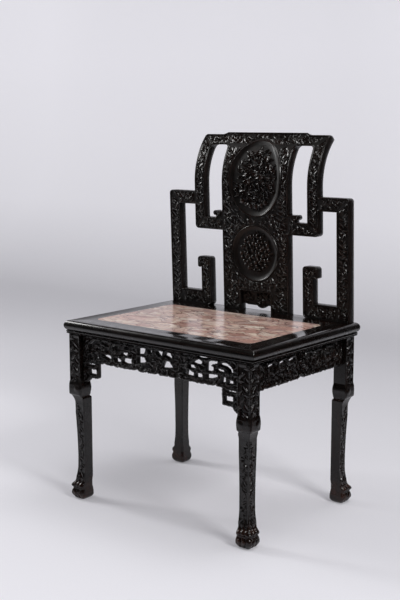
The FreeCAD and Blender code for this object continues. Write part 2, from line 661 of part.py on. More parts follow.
# Bracket under each end of the front apron, with a tail down the leg
bracket_x = f"({leg_inner_x} - bracket_width)"
bracket_outline = [
    (bracket_x, bracket_low),
    (bracket_x, f"{bracket_bottom} + corner_round"),
    (f"{bracket_x} + corner_round", bracket_bottom, f"{bracket_x} + corner_round * (1 - cos(45))",
     f"{bracket_bottom} + corner_round * (1 - sin(45))"),
    (f"{leg_inner_x} - bracket_tail_width", between(bracket_bottom, roll_top, 0.1)),
    (f"{leg_inner_x} - bracket_tail_width * 0.8", between(bracket_bottom, roll_top, 0.65),
     f"{leg_inner_x} - bracket_tail_width * 0.95", between(bracket_bottom, roll_top, 0.4)),
    (leg_inner_x, roll_top, f"{leg_inner_x} - bracket_tail_width * 0.5",
     between(bracket_bottom, roll_top, 0.94)),
    (leg_inner_x, bracket_low),
]
bracket_board = prism("bracket_board", "front", bracket_outline, apron_y, "bracket_thickness")
hole_shares = {"bracket_window": (0.15, 0.60, 0.25, 0.56), "bracket_slot": (0.24, 0.80, 0.82, 0.92)}
bracket_holes = []
for name, (left, right, low, high) in hole_shares.items():
    steps = rounded(between(bracket_x, leg_inner_x, left), between(bracket_x, leg_inner_x, right),
                    between(bracket_bottom, bracket_low, low), between(bracket_bottom, bracket_low, high),
                    "window_margin / 4")
    bracket_holes.append(prism(name, "front", steps, f"{apron_y} - overrun",
                               "bracket_thickness + 2 * overrun"))
bracket_blank = joined("Fuse", "bracket_blank", bracket_board, block("bracket_stub", *bracket_tenon))
pieces["front_right_bracket"] = joined("Cut", "bracket_right", bracket_blank,
                                       group("bracket_hole_tools", bracket_holes))
pieces["front_left_bracket"] = mirrored(pieces["front_right_bracket"], "bracket_left")


# Back: every member is a flat outline, cut out of one curved and leaning slab
def curve_at(depth):
    """Foot, bend, place on the roll and end of a surface that lies so deep behind the back's face."""
    middle_z = f"(({bend_height} + {crest_top}) / 2)"
    radius = f"(bend_radius - ({depth}))"
    return [
        (f"{seat_middle} + {face_at_seat} + ({depth}) / cos(back_lean)", "seat_height"),
        (f"{seat_middle} + {face_at_bend} + ({depth}) * cos(back_lean)",
         f"{bend_height} + ({depth}) * sin(back_lean)"),
        (f"{seat_middle} + {roll_y} - sqrt({radius} ^ 2 - ({middle_z} - {roll_z}) ^ 2)", middle_z),
        (f"{seat_middle} + {roll_y} - {radius} * {top_cosine}", f"{roll_z} + {radius} * {top_sine}"),
    ]


def curved_slab(name, front, rear, start, length):
    """Side view of the back between two depths behind its face, pushed across the chair."""
    foot, bend, via, end = curve_at(front)
    back_foot, back_bend, back_via, back_end = curve_at(rear)
    steps = [foot, bend, (*end, *via), back_end, (*back_bend, *back_via), back_foot]
    return prism(name, "side", steps, start, length)


def middle_at(height):
    """Y in the middle of the back's thickness, below the roll."""
    return (f"({seat_middle} + {face_at_seat} - ({height} - seat_height) * tan(back_lean)"
            f" + back_thickness / 2 / cos(back_lean))")


def middle_on_roll(height):
    """Y in the middle of the back's thickness, on the roll."""
    radius = "(bend_radius - back_thickness / 2)"
    return f"({seat_middle} + {roll_y} - sqrt({radius} ^ 2 - ({height} - {roll_z}) ^ 2))"


slab = curved_slab("back_slab", "0", "back_thickness", f"-{half_width}", "seat_width")


def member(name, steps):
    """One member of the back, from its outline in front view."""
    stock = prism(name + "_stock", "front", steps, seat_middle, f"{half_depth} + seat_depth")
    pieces[name] = joined("Common", name + "_shape", stock, slab)


# Stiles and lower scrolls stand at a share of the way from the splat to the outer posts
stile_place_share = 0.637
scroll_place_share = 0.303
hook_tip_share = 0.51
post_outer = f"({half_width} - post_inset)"
post_inner = f"({post_outer} - post_width)"
splat_edge = "(splat_width / 2)"
stile_outer = between(splat_edge, post_inner, stile_place_share)
stile_inner = f"({stile_outer} - stile_width)"
scroll_inner = between(splat_edge, post_inner, scroll_place_share)
scroll_outer = f"({scroll_inner} + scroll_width)"
arm_top = between("seat_height", crest_top, arm_share)
arm_bottom = f"({arm_top} - arm_width)"
hook_bottom = between("seat_height", crest_top, hook_share)
hook_top = f"({hook_bottom} + hook_width)"
scroll_top = between("seat_height", crest_top, scroll_share)
foot_rail_top = "(seat_height + foot_rail_width)"
crest_end = f"({crest_top} - crest_shoulder)"

mitre, via, straight = half_corner(post_outer, arm_top, -1, -1, "tip_round", True)
member("right_outer_post", [(post_inner, "seat_height"), (post_outer, "seat_height"), straight,
                            (*mitre, *via), (post_inner, arm_bottom)])
mitre, via, straight = half_corner(post_outer, arm_top, -1, -1, "tip_round", False)
member("right_shoulder_arm", [(stile_outer, arm_bottom), (post_inner, arm_bottom), mitre, (*straight, *via),
                              (stile_outer, arm_top)])

low_mitre, low_via, low_straight = half_corner(stile_outer, hook_bottom, -1, 1, "fret_round", True)
top_mitre, top_via, top_straight = half_corner(stile_outer, crest_end, -1, -1, "corner_round", True)
in_mitre, in_via, in_straight = half_corner(stile_inner, crest_underside, -1, -1, "window_round", True)
member("right_stile", [low_mitre, (*low_straight, *low_via), top_straight, (*top_mitre, *top_via),
                       in_mitre, (*in_straight, *in_via), (stile_inner, hook_top)])

mitre, via, straight = half_corner(stile_outer, hook_bottom, -1, 1, "fret_round", False)
tip_end = between(splat_edge, stile_inner, hook_tip_share)
tip_top = f"({hook_top} + hook_tip_height)"
member("right_hook_rail", [
    (splat_edge, hook_bottom),
    straight,
    (*mitre, *via),
    (stile_inner, hook_top),
    (f"{tip_end} - hook_tip_height / 4", hook_top),
    (f"{tip_end} - hook_tip_height / 4", f"{hook_top} + hook_tip_height / 3",
     f"{tip_end} - hook_tip_height / 2", f"{hook_top} + hook_tip_height / 6"),
    (f"{tip_end} - hook_tip_height / 2", tip_top, tip_end, f"{hook_top} + hook_tip_height * 0.8"),
    (splat_edge, tip_top),
])

mitre, via, straight = half_corner(scroll_inner, "seat_height", 1, 1, "fret_round", False)
member("right_foot_rail", [mitre, (*straight, *via), (post_inner, "seat_height"),
                           (post_inner, foot_rail_top), (scroll_outer, foot_rail_top)])
mitre, via, straight = half_corner(scroll_inner, "seat_height", 1, 1, "fret_round", True)
scroll_reach = f"({scroll_outer} + scroll_tip)"
scroll_low = f"({scroll_top} - scroll_tip_height)"
member("right_inner_upright", [
    (*mitre, *via),
    (scroll_outer, foot_rail_top),
    (scroll_outer, f"{scroll_low} + scroll_tip / 3"),
    (f"{scroll_reach} - scroll_tip / 3", scroll_low, f"{scroll_outer} + scroll_tip / 4", scroll_low),
    (scroll_reach, f"{scroll_low} + scroll_tip / 3",
     f"{scroll_reach} - scroll_tip / 10", f"{scroll_low} + scroll_tip / 10"),
    (scroll_reach, f"{scroll_top} - tip_round"),
    (f"{scroll_reach} - tip_round", scroll_top, f"{scroll_reach} - tip_round * (1 - cos(45))",
     f"{scroll_top} - tip_round * (1 - sin(45))"),
    (f"{scroll_inner} + tip_round", scroll_top),
    (scroll_inner, f"{scroll_top} - tip_round", f"{scroll_inner} + tip_round * (1 - cos(45))",
     f"{scroll_top} - tip_round * (1 - sin(45))"),
    straight,
])

mitre, via, straight = half_corner(stile_outer, crest_end, -1, -1, "corner_round", False)
raised = "(crest_raised / 2)"
in_mitre, in_via, in_straight = half_corner(stile_inner, crest_underside, -1, -1, "window_round", False)
right_half = [
    in_straight,
    (*in_mitre, *in_via),
    mitre,
    (*straight, *via),
    (raised, crest_end),
    (f"{raised} - crest_cove", crest_top,
     f"{raised} - crest_cove * 0.35", between(crest_end, crest_top, 0.3)),
]


def left_of(steps):
    """The mirror image of an open run of steps, in turned order, arcs kept."""
    turned = []
    arriving = None
    for step in reversed(steps):
        place = (f"-({step[0]})", step[1])
        turned.append(place if arriving is None else (*place, *arriving))
        arriving = (f"-({step[2]})", step[3]) if len(step) == 4 else None
    return turned


member("crest_rail", right_half + left_of(right_half))

# Splat: one wide board on two feet, its medallions sunk in the face
foot_inner = f"({splat_edge} - splat_foot)"
arch_top = "(seat_height + splat_arch)"
shoulder = f"({splat_edge} + window_round)"
splat_half = [
    (foot_inner, arch_top),
    (foot_inner, "seat_height"),
    (splat_edge, "seat_height"),
    (splat_edge, f"{crest_underside} - window_round"),
    (shoulder, crest_underside, f"{splat_edge} + window_round * (1 - cos(45))",
     f"{crest_underside} - window_round * (1 - sin(45))"),
]
member("splat", splat_half + left_of(splat_half))

skin = curved_slab("medallion_skin", "-overrun", "medallion_depth", f"-{splat_edge}", "splat_width")
oval_middle = between("seat_height", crest_top, oval_share)
round_middle = between("seat_height", crest_top, round_share)


def medallion(name, width, height, middle):
    """A sunk oval that follows the curve of the back."""
    ring = doc.addObject("Part::Ellipse", name + "_ring")
    ring.Placement = FreeCAD.Placement(FreeCAD.Vector(), FreeCAD.Rotation(FreeCAD.Vector(1, 0, 0), 90))
    upright = number(height) > number(width)
    ring.setExpression("MajorRadius", bound(f"max({width}; {height}) / 2"))
    ring.setExpression("MinorRadius", bound(f"min({width}; {height}) / 2"))
    if upright:
        ring.Placement = FreeCAD.Placement(FreeCAD.Vector(), FreeCAD.Rotation(0, 90, 90))
    ring.setExpression(".Placement.Base.y", bound(seat_middle))
    ring.setExpression(".Placement.Base.z", bound(middle))
    plug = doc.addObject("Part::Extrusion", name + "_plug")
    plug.Base = ring
    plug.DirMode = "Custom"
    plug.Dir = FreeCAD.Vector(0, 1, 0)
    plug.Solid = True
    plug.setExpression("LengthFwd", bound("seat_depth"))
    return joined("Common", name, plug, skin)


medallions = group("medallions", [
    medallion("oval_medallion", "oval_width", "oval_height", oval_middle),
    medallion("round_medallion", "round_width", "round_width", round_middle),
])
for name in ("splat", "crest_rail"):
    pieces[name] = joined("Cut", name + "_sunk", pieces[name], medallions)

# Small scalloped board between the splat's feet, held in a groove on three sides
board_front = f"({seat_middle} + {face_at_seat} + splat_apron_inset)"
board_rear = f"({board_front} + splat_apron_thickness)"
lobe_low = "(seat_height + splat_apron_low)"
cusp = f"({lobe_low} + splat_apron_cusp)"
held = f"({foot_inner} + splat_apron_groove)"
apron_half = [
    ("0", cusp),
    (f"{foot_inner} * 0.62", cusp, f"{foot_inner} * 0.31", lobe_low),
    (foot_inner, cusp, f"{foot_inner} * 0.8", f"{cusp} + splat_apron_cusp / 3"),
    (held, cusp),
    (held, f"({arch_top} + splat_apron_groove)"),
]
small_board = prism("splat_apron_board", "front", left_of(apron_half)[:-1] + apron_half, board_front,
                    "splat_apron_thickness")
pieces["splat_apron"] = small_board
groove = cavity("splat_groove", (f"-{held}", board_front, cusp),
                (held, board_rear, f"{arch_top} + splat_apron_groove"))
pieces["splat"] = joined("Cut", "splat_grooved", pieces["splat"], groove)


# Joints of the back. A tenon lies in the middle of the thickness.
def in_thickness(middle):
    return f"({middle} - tenon_thickness / 2)", f"({middle} + tenon_thickness / 2)"


def level_tenon(owner, host, name, x_low, x_high, height, width, rolled=False, paired=False):
    """A tenon that runs sideways, of so much width round a height."""
    low, high = in_thickness(middle_on_roll(height) if rolled else middle_at(height))
    join(owner, host, name, (x_low, low, f"{height} - ({width}) / 2"),
         (x_high, high, f"{height} + ({width}) / 2"), paired)


level_tenon("right_shoulder_arm", "right_outer_post", "post_mitre", f"({post_inner} - tenon_root)",
            f"({post_outer} - tenon_length)", f"({arm_bottom} + arm_width / 2)", "arm_width / 3")
level_tenon("right_shoulder_arm", "right_stile", "stile_joint", f"({stile_outer} - tenon_length)",
            f"({stile_outer} + tenon_root)", f"({arm_bottom} + arm_width / 2)", "arm_width / 2")
level_tenon("right_hook_rail", "right_stile", "hook_mitre", f"({stile_inner} - tenon_root)",
            f"({stile_outer} - tenon_length)", f"({hook_bottom} + hook_width / 2)", "hook_width / 3")
level_tenon("right_hook_rail", "splat", "splat_joint", f"({splat_edge} - tenon_length)",
            f"({splat_edge} + tenon_root)", f"({hook_bottom} + hook_width / 2)", "hook_width / 2",
            paired=True)
level_tenon("right_foot_rail", "right_outer_post", "foot_joint", f"({post_inner} - tenon_root)",
            f"({post_inner} + tenon_length)", "(seat_height + foot_rail_width / 2)", "foot_rail_width / 2")
level_tenon("right_foot_rail", "right_inner_upright", "scroll_mitre", f"({scroll_inner} + tenon_length)",
            f"({scroll_outer} + tenon_root)", "(seat_height + foot_rail_width / 2)", "foot_rail_width / 3")
level_tenon("crest_rail", "right_stile", "crest_mitre", f"({stile_inner} - tenon_root)",
            f"({stile_outer} - tenon_length)", f"(({crest_underside} + {crest_end}) / 2)", "tenon_length",
            rolled=True, paired=True)

low, high = in_thickness(middle_on_roll(f"({crest_underside} + tenon_length / 2)"))
join("splat", "crest_rail", "top_joint", (f"-{splat_edge} * 0.8", low, f"{crest_underside} - tenon_root"),
     (f"{splat_edge} * 0.8", high, f"{crest_underside} + tenon_length"))

# Stub tenons of the back into the rear rail
stub_low, stub_high = in_thickness(middle_at("seat_height"))
stubs = [
    ("right_outer_post", post_inner, post_outer),
    ("splat", foot_inner, splat_edge),
    ("right_foot_rail", f"({scroll_outer} + fret_round)", f"({post_inner} - fret_round)"),
]
for owner, left, right in stubs:
    stub_ends = [(between(left, right, 0.25), stub_low, "seat_height - tenon_length"),
                 (between(left, right, 0.75), stub_high, "seat_height + tenon_root")]
    stub = block(f"{owner}_stub", *stub_ends)
    pieces[owner] = joined("Fuse", f"{owner}_with_stub", pieces[owner], stub)
    if owner == "splat":
        pieces[owner] = joined("Fuse", "splat_with_stubs", pieces[owner], mirrored(stub, "splat_stub_left"))
    hole = cavity(f"{owner}_hole", *stub_ends)
    frame_cuts += [hole, mirrored(hole, f"{owner}_hole_left")]

for name in ("stile", "hook_rail", "shoulder_arm", "outer_post", "foot_rail", "inner_upright"):
    pieces["left_" + name] = mirrored(pieces["right_" + name], name + "_left")

# The seat frame's rails: the cut blank, split along the mitres from outer to inner corner
frame = joined("Cut", "frame", frame_blank, group("frame_tools", frame_cuts))


def mitre_wedge(name, steps):
    return prism(name, "plan", steps, f"{underside} - overrun", f"seat_height - {underside} + 2 * overrun")


# A mitre leaves the corner at 45 degrees, so that the mouldings meet, and then runs to the inner
# corner and on past it by the same share of both rails
past_share = 1.5
moulding = "(nosing_height / 2 + bead_setback)"
bend_x = f"({half_width} - {moulding})"
bend_front = f"({front_edge} + {moulding})"
bend_rear = f"({rear_edge} - {moulding})"
inner_x = f"({half_width} - side_rail_width * {past_share})"
inner_front = f"({front_edge} + front_rail_width * {past_share})"
inner_rear = f"({rear_edge} - rear_rail_width * {past_share})"
rail_wedges = {
    "seat_front_rail": [(f"-{half_width}", front_edge), (half_width, front_edge), (bend_x, bend_front),
                        (inner_x, inner_front), (f"-{inner_x}", inner_front), (f"-{bend_x}", bend_front)],
    "seat_rear_rail": [(half_width, rear_edge), (f"-{half_width}", rear_edge), (f"-{bend_x}", bend_rear),
                       (f"-{inner_x}", inner_rear), (inner_x, inner_rear), (bend_x, bend_rear)],
    "seat_right_rail": [(half_width, front_edge), (half_width, rear_edge), (bend_x, bend_rear),
                        (inner_x, inner_rear), (inner_x, inner_front), (bend_x, bend_front)],
}
for name, steps in rail_wedges.items():
    pieces[name] = joined("Common", name + "_split", frame, mitre_wedge(name + "_wedge", steps))

mitre_top = "(seat_height - mitre_tenon_depth)"
mitre_end = f"({half_width} - nosing_height / 2)"
mitre_places = {
    "seat_front_rail": f"({front_edge} + front_rail_width * 0.45)",
    "seat_rear_rail": f"({rear_edge} - rear_rail_width * 0.75)",
}
for name, near in mitre_places.items():
    low = (f"{mitre_end} - mitre_tenon_length", near, f"{mitre_top} - mitre_tenon_thickness")
    high = (mitre_end, f"{near} + mitre_tenon_width", mitre_top)
    tenon = block(name + "_tenon", low, high)
    hole = cavity(name + "_mortise", low, high)
    pieces[name] = joined("Fuse", name + "_one", pieces[name], tenon)
    pieces[name] = joined("Fuse", name + "_two", pieces[name], mirrored(tenon, name + "_tenon_left"))
    pieces["seat_right_rail"] = joined("Cut", name + "_in_side", pieces["seat_right_rail"], hole)
pieces["seat_left_rail"] = mirrored(pieces["seat_right_rail"], "seat_left_rail_mirror")

# Recompute, check every object, then write each piece
doc.recompute()
for item in doc.Objects:
    if "Invalid" in item.State or "Error" in item.State:
        raise RuntimeError(f"{item.Name} did not compute: {item.State}")
os.makedirs("parts", exist_ok=True)
for name, item in pieces.items():
    item.Label = name
    shape = item.Shape
    if shape.isNull() or not shape.isValid():
        raise RuntimeError(f"{name} has no valid shape")
    if len(shape.Solids) != 1:
        raise RuntimeError(f"{name} has {len(shape.Solids)} solids")
for name, item in pieces.items():
    item.Shape.exportStep(f"parts/{name}.step")
box = Part.makeCompound([item.Shape for item in pieces.values()]).BoundBox
print("pieces", len(pieces), "box", box)
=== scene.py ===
import math
import bmesh
import bpy
import numpy as np
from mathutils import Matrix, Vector, geometry


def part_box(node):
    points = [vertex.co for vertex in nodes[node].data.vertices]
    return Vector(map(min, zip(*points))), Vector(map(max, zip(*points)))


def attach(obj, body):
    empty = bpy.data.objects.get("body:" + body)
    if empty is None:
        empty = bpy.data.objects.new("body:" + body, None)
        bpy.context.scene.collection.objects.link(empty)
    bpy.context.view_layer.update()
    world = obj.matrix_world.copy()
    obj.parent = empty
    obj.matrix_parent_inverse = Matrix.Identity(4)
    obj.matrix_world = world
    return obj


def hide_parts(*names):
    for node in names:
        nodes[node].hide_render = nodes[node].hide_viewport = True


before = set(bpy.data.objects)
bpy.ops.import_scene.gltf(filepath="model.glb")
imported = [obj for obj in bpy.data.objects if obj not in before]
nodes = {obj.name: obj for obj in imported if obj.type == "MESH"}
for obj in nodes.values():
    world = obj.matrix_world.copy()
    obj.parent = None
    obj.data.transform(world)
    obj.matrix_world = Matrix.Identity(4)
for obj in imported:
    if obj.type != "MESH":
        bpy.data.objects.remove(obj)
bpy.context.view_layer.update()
scene = bpy.context.scene
print("frame loaded", len(nodes), "nodes")


# ---- small helpers

def toLinear(hexColour):
    values = [int(hexColour[i:i + 2], 16) / 255 for i in (1, 3, 5)]
    return tuple(v / 12.92 if v <= 0.04045 else ((v + 0.055) / 1.055) ** 2.4 for v in values) + (1.0,)


def addNode(tree, kind, settings=None, inputs=None):
    # an input is given a plain value, a socket, a node that stands for its first output, or a list of nodes
    node = tree.nodes.new(kind)
    for key, value in (settings or {}).items():
        setattr(node, key, value)
    for key, value in (inputs or {}).items():
        sources = value if isinstance(value, list) else [value]
        if isinstance(sources[0], (bpy.types.Node, bpy.types.NodeSocket)):
            for source in sources:
                tree.links.new(getattr(source, "outputs", [source])[0], node.inputs[key])
        else:
            node.inputs[key].default_value = value
    return node


def setRamp(node, stops):
    ramp = node.color_ramp
    while len(ramp.elements) < len(stops):
        ramp.elements.new(0.5)
    for element, (place, colour) in zip(ramp.elements, stops):
        element.position = place
        element.color = toLinear(colour) if isinstance(colour, str) else (colour, colour, colour, 1)
    return node


def fromTable(table, at):
    # value at a place, from rows of (place, value)
    places, values = zip(*table)
    return np.interp(at, places, values)


def newObject(name, data):
    made = bpy.data.objects.new(name, data)
    scene.collection.objects.link(made)
    return made


def newMaterial(name):
    material = bpy.data.materials.new(name)
    material.use_nodes = True
    tree = material.node_tree
    tree.nodes.clear()
    return material, tree


# ---- materials

rosewoodLook = {
    "dark": "#070403", "middle": "#0f0907", "light": "#25140e",
    "worn": "#43261b",      # handled edges, where the dark finish has thinned
    "streak": 0.0026,       # growth lines, metres across
    "streakLength": 0.075,
    "pore": 0.0007,         # open pores are about 0.2 mm across, drawn coarser so that they show
    "poreLength": 0.006,
}


def makeRosewood(name, grainAxis, roughness, coat):
    # dark rosewood under hand-rubbed wax: near black to the eye, red-brown where it is worn, with crisp glints
    look = rosewoodLook
    material, tree = newMaterial(name)
    place = addNode(tree, "ShaderNodeTexCoord").outputs["Object"]

    def stretched(width, length):
        scale = [1 / width] * 3
        scale[grainAxis] = 1 / length
        return addNode(tree, "ShaderNodeMapping", None, {"Vector": place, "Scale": scale})

    warp = addNode(tree, "ShaderNodeTexNoise", None,
                   {"Vector": stretched(0.05, 0.3), "Scale": 1.0, "Detail": 2.0})
    bent = addNode(tree, "ShaderNodeVectorMath", {"operation": "MULTIPLY_ADD"},
                   {0: warp.outputs["Color"], 1: (2.5, 2.5, 2.5), 2: stretched(look["streak"], look["streakLength"])})
    streaks = addNode(tree, "ShaderNodeTexNoise", None,
                      {"Vector": bent, "Scale": 1.0, "Detail": 4.0, "Roughness": 0.55})
    bands = addNode(tree, "ShaderNodeTexNoise", None,
                    {"Vector": stretched(0.018, 0.25), "Scale": 1.0, "Detail": 2.0})
    pores = addNode(tree, "ShaderNodeTexNoise", None,
                    {"Vector": stretched(look["pore"], look["poreLength"]), "Scale": 1.0, "Detail": 1.0})
    mixed = addNode(tree, "ShaderNodeMath", {"operation": "MULTIPLY_ADD"},
                    {0: bands.outputs["Fac"], 1: 0.45, 2: streaks.outputs["Fac"]})
    grain = addNode(tree, "ShaderNodeMath", {"operation": "MULTIPLY"}, {0: mixed, 1: 0.69})
    colour = setRamp(addNode(tree, "ShaderNodeValToRGB", None, {"Fac": grain}),
                     [(0.36, look["dark"]), (0.52, look["middle"]), (0.70, look["light"])])
    poreMask = setRamp(addNode(tree, "ShaderNodeValToRGB", None, {"Fac": pores.outputs["Fac"]}),
                       [(0.30, 1.0), (0.40, 0.0)])
    dimmed = addNode(tree, "ShaderNodeMix", {"data_type": "RGBA", "blend_type": "MULTIPLY"},
                     {0: poreMask, 6: colour, 7: toLinear("#6a5f5a")})
    cloud = addNode(tree, "ShaderNodeTexNoise", None, {"Vector": place, "Scale": 28.0, "Detail": 3.0})
    carve = addNode(tree, "ShaderNodeAttribute", {"attribute_name": "carve"}).outputs["Fac"]
    tops = addNode(tree, "ShaderNodeMapRange", None, {"Value": carve, 1: 0.9, 2: 1.3, 3: 0.0, 4: 0.9})
    patchy = addNode(tree, "ShaderNodeMapRange", None,
                     {"Value": cloud.outputs["Fac"], 1: 0.42, 2: 0.62, 3: 0.15, 4: 1.0})
    rubbed = addNode(tree, "ShaderNodeMath", {"operation": "MULTIPLY"}, {0: tops, 1: patchy})
    worn = addNode(tree, "ShaderNodeMix", {"data_type": "RGBA"},
                   {0: rubbed, 6: dimmed.outputs[2], 7: toLinear(look["worn"])})
    sheen = addNode(tree, "ShaderNodeMapRange", None,
                    {"Value": cloud.outputs["Fac"], 1: 0.35, 2: 0.65, 3: roughness - 0.05, 4: roughness + 0.06})
    dull = addNode(tree, "ShaderNodeMapRange", None, {"Value": carve, 1: 0.1, 2: 0.7, 3: 0.22, 4: 0.0})
    rough = addNode(tree, "ShaderNodeMath", {"operation": "ADD"}, {0: sheen, 1: dull})
    bump = addNode(tree, "ShaderNodeBump", None,
                   {"Height": mixed, "Strength": 0.8 * roughness, "Distance": 0.0004})
    poreBump = addNode(tree, "ShaderNodeBump", {"invert": True},
                       {"Height": poreMask, "Strength": 0.8 * roughness, "Distance": 0.0003, "Normal": bump})
    shader = addNode(tree, "ShaderNodeBsdfPrincipled", None,
                     {"Base Color": worn.outputs[2], "Roughness": rough, "Normal": poreBump,
                      "IOR": 1.5, "Specular IOR Level": 0.36, "Coat Weight": coat, "Coat Roughness": 0.1})
    addNode(tree, "ShaderNodeOutputMaterial", None, {"Surface": shader})
    return material


marbleLook = {
    "large": (0.062, 0.026, -0.55),     # fragments: metres long and across, and their slant
    "small": (0.024, 0.011, -0.45),
    "patches": [(0.0, "#8f655b"), (0.16, "#b58a7e"), (0.34, "#d8bfae"), (0.5, "#a3817a"),
                (0.64, "#c7a095"), (0.8, "#e6d8c8"), (1.0, "#95706a")],
    "chips": [(0.0, "#a67b70"), (0.3, "#e2cdb9"), (0.55, "#9a8583"), (0.8, "#c99e90"), (1.0, "#ece0d2")],
    "seam": "#5a3f3b",
}


def makeMarble(name):
    # polished breccia: rose, cream and grey-lilac fragments drawn out one way, some with thin dark seams
    look = marbleLook
    material, tree = newMaterial(name)
    place = addNode(tree, "ShaderNodeTexCoord").outputs["Object"]
    warp = addNode(tree, "ShaderNodeTexNoise", None, {"Vector": place, "Scale": 14.0, "Detail": 4.0, "Roughness": 0.6})
    bent = addNode(tree, "ShaderNodeVectorMath", {"operation": "MULTIPLY_ADD"},
                   {0: warp.outputs["Color"], 1: (0.06, 0.06, 0.06), 2: place})

    def fragments(long, across, turn):
        turned = addNode(tree, "ShaderNodeMapping", None, {"Vector": bent, "Rotation": (0, 0, turn),
                                                           "Scale": (1 / long, 1 / across, 1 / 0.05)})
        cells = addNode(tree, "ShaderNodeTexVoronoi", {"feature": "F1"}, {"Vector": turned, "Scale": 1.0})
        edges = addNode(tree, "ShaderNodeTexVoronoi", {"feature": "DISTANCE_TO_EDGE"},
                        {"Vector": turned, "Scale": 1.0})
        return addNode(tree, "ShaderNodeSeparateColor", None, {0: cells.outputs["Color"]}).outputs, edges

    large, largeEdge = fragments(*look["large"])
    small, smallEdge = fragments(*look["small"])
    patch = setRamp(addNode(tree, "ShaderNodeValToRGB", None, {"Fac": large[0]}), look["patches"])
    chips = setRamp(addNode(tree, "ShaderNodeValToRGB", None, {"Fac": small[1]}), look["chips"])
    some = addNode(tree, "ShaderNodeMapRange", None, {"Value": large[2], 1: 0.25, 2: 0.55, 3: 0.2, 4: 0.8})
    stone = addNode(tree, "ShaderNodeMix", {"data_type": "RGBA"}, {0: some, 6: patch, 7: chips})
    fine = addNode(tree, "ShaderNodeTexNoise", None,
                   {"Vector": bent, "Scale": 110.0, "Detail": 6.0, "Roughness": 0.65})
    mottled = addNode(tree, "ShaderNodeMix", {"data_type": "RGBA", "blend_type": "OVERLAY"},
                      {0: 0.55, 6: stone.outputs[2], 7: fine.outputs["Fac"]})
    seam = setRamp(addNode(tree, "ShaderNodeValToRGB", None, {"Fac": largeEdge}), [(0.0, 0.85), (0.07, 0.0)])
    hair = setRamp(addNode(tree, "ShaderNodeValToRGB", None, {"Fac": smallEdge}), [(0.0, 0.5), (0.08, 0.0)])
    most = addNode(tree, "ShaderNodeMath", {"operation": "MAXIMUM"}, {0: seam, 1: hair})
    broken = addNode(tree, "ShaderNodeMapRange", None,
                     {"Value": warp.outputs["Fac"], 1: 0.42, 2: 0.58, 3: 0.25, 4: 1.0})
    veins = addNode(tree, "ShaderNodeMath", {"operation": "MULTIPLY"}, {0: most, 1: broken})
    veined = addNode(tree, "ShaderNodeMix", {"data_type": "RGBA"},
                     {0: veins, 6: mottled.outputs[2], 7: toLinear(look["seam"])})
    shader = addNode(tree, "ShaderNodeBsdfPrincipled", None,
                     {"Base Color": veined.outputs[2], "Roughness": 0.2, "IOR": 1.55})
    addNode(tree, "ShaderNodeOutputMaterial", None, {"Surface": shader})
    return material


waxed = {"roughness": 0.24, "coat": 0.15}
polished = {"roughness": 0.16, "coat": 0.4}         # the seat frame, rubbed bright by hands and cloth
uprightRosewood = makeRosewood("waxedRosewoodUpright", 2, **waxed)
levelRosewood = makeRosewood("waxedRosewoodLevel", 0, **waxed)
sideRosewood = makeRosewood("waxedRosewoodSide", 1, **waxed)
levelPolish = makeRosewood("polishedRosewoodLevel", 0, **polished)
sidePolish = makeRosewood("polishedRosewoodSide", 1, **polished)
brecciaMarble = makeMarble("polishedBrecciaMarble")

uprightEndings = ("splat", "stile", "post", "upright", "leg")
uprightNodes = {name for name in nodes if name.endswith(uprightEndings)}
sideNodes = {"seat_left_rail", "seat_right_rail", "left_apron", "right_apron"}
for name, node in nodes.items():
    wood = uprightRosewood if name in uprightNodes else sideRosewood if name in sideNodes else levelRosewood
    material = brecciaMarble if name == "marble_panel" else wood
    node.data.materials.clear()
    node.data.materials.append(material)
print("materials made")


# ---- carved plates: each flat member keeps its CAD outline, and gets beaded edges and carving in relief

# the back leans and then rolls to the rear, in millimetres and degrees
backShape = {"faceAtSeat": 181.049, "lean": 2.2, "seat": 480.0, "bend": 822.0,
             "rollY": 347.777, "rollZ": 828.91, "rollRadius": 180.0, "thick": 24.6, "end": 0.7394}


def backLean(z):
    return backShape["faceAtSeat"] - (z - backShape["seat"]) * math.tan(math.radians(backShape["lean"]))


def backRoll(z, radius):
    return backShape["rollY"] - np.sqrt(np.maximum(radius ** 2 - (z - backShape["rollZ"]) ** 2, 1))


def backFront(z):
    return np.where(z <= backShape["bend"], backLean(z), backRoll(z, backShape["rollRadius"]))


def backRear(z):
    b = backShape
    straight = backLean(z) + b["thick"] / math.cos(math.radians(b["lean"]))
    rolled = backRoll(z, b["rollRadius"] - b["thick"])
    endPlane = b["rollY"] - (z - b["rollZ"]) * math.sqrt(1 - b["end"] ** 2) / b["end"]
    return np.minimum(np.where(z <= b["bend"] + 1, straight, rolled), endPlane)


def faceOutlines(nodeName, toFlat, level, near=0.35):
    # closed outlines of the CAD face that lies on a level, as (across, up) points in millimetres
    shape = bmesh.new()
    copied = nodes[nodeName].data.copy()
    shape.from_mesh(copied)
    bmesh.ops.remove_doubles(shape, verts=shape.verts, dist=1e-5)
    flat = {vert: toFlat(vert.co * 1000) for vert in shape.verts}
    onLevel = lambda vert: abs(flat[vert][2] - float(level(flat[vert][1]))) < near
    chosen = [face for face in shape.faces if all(onLevel(vert) for vert in face.verts)]
    onFace = set(chosen)        # for lookup only: the list keeps the order, and so the outline's first point
    following = {}
    for face in chosen:
        for loop in face.loops:
            if sum(1 for other in loop.edge.link_faces if other in onFace) == 1:
                following.setdefault(loop.vert, []).append(loop.link_loop_next.vert)
    outlines = []
    while following:
        start = vert = next(iter(following))
        points = []
        while vert in following:
            points.append(flat[vert][:2])
            after = following[vert].pop()
            if not following[vert]:
                del following[vert]
            vert = after
            if vert is start:
                break
        outlines.append(np.array(points, float))
    shape.free()
    bpy.data.meshes.remove(copied)
    return outlines


def segmentsOf(outlines):
    return np.concatenate(outlines), np.concatenate([np.roll(outline, -1, 0) for outline in outlines])


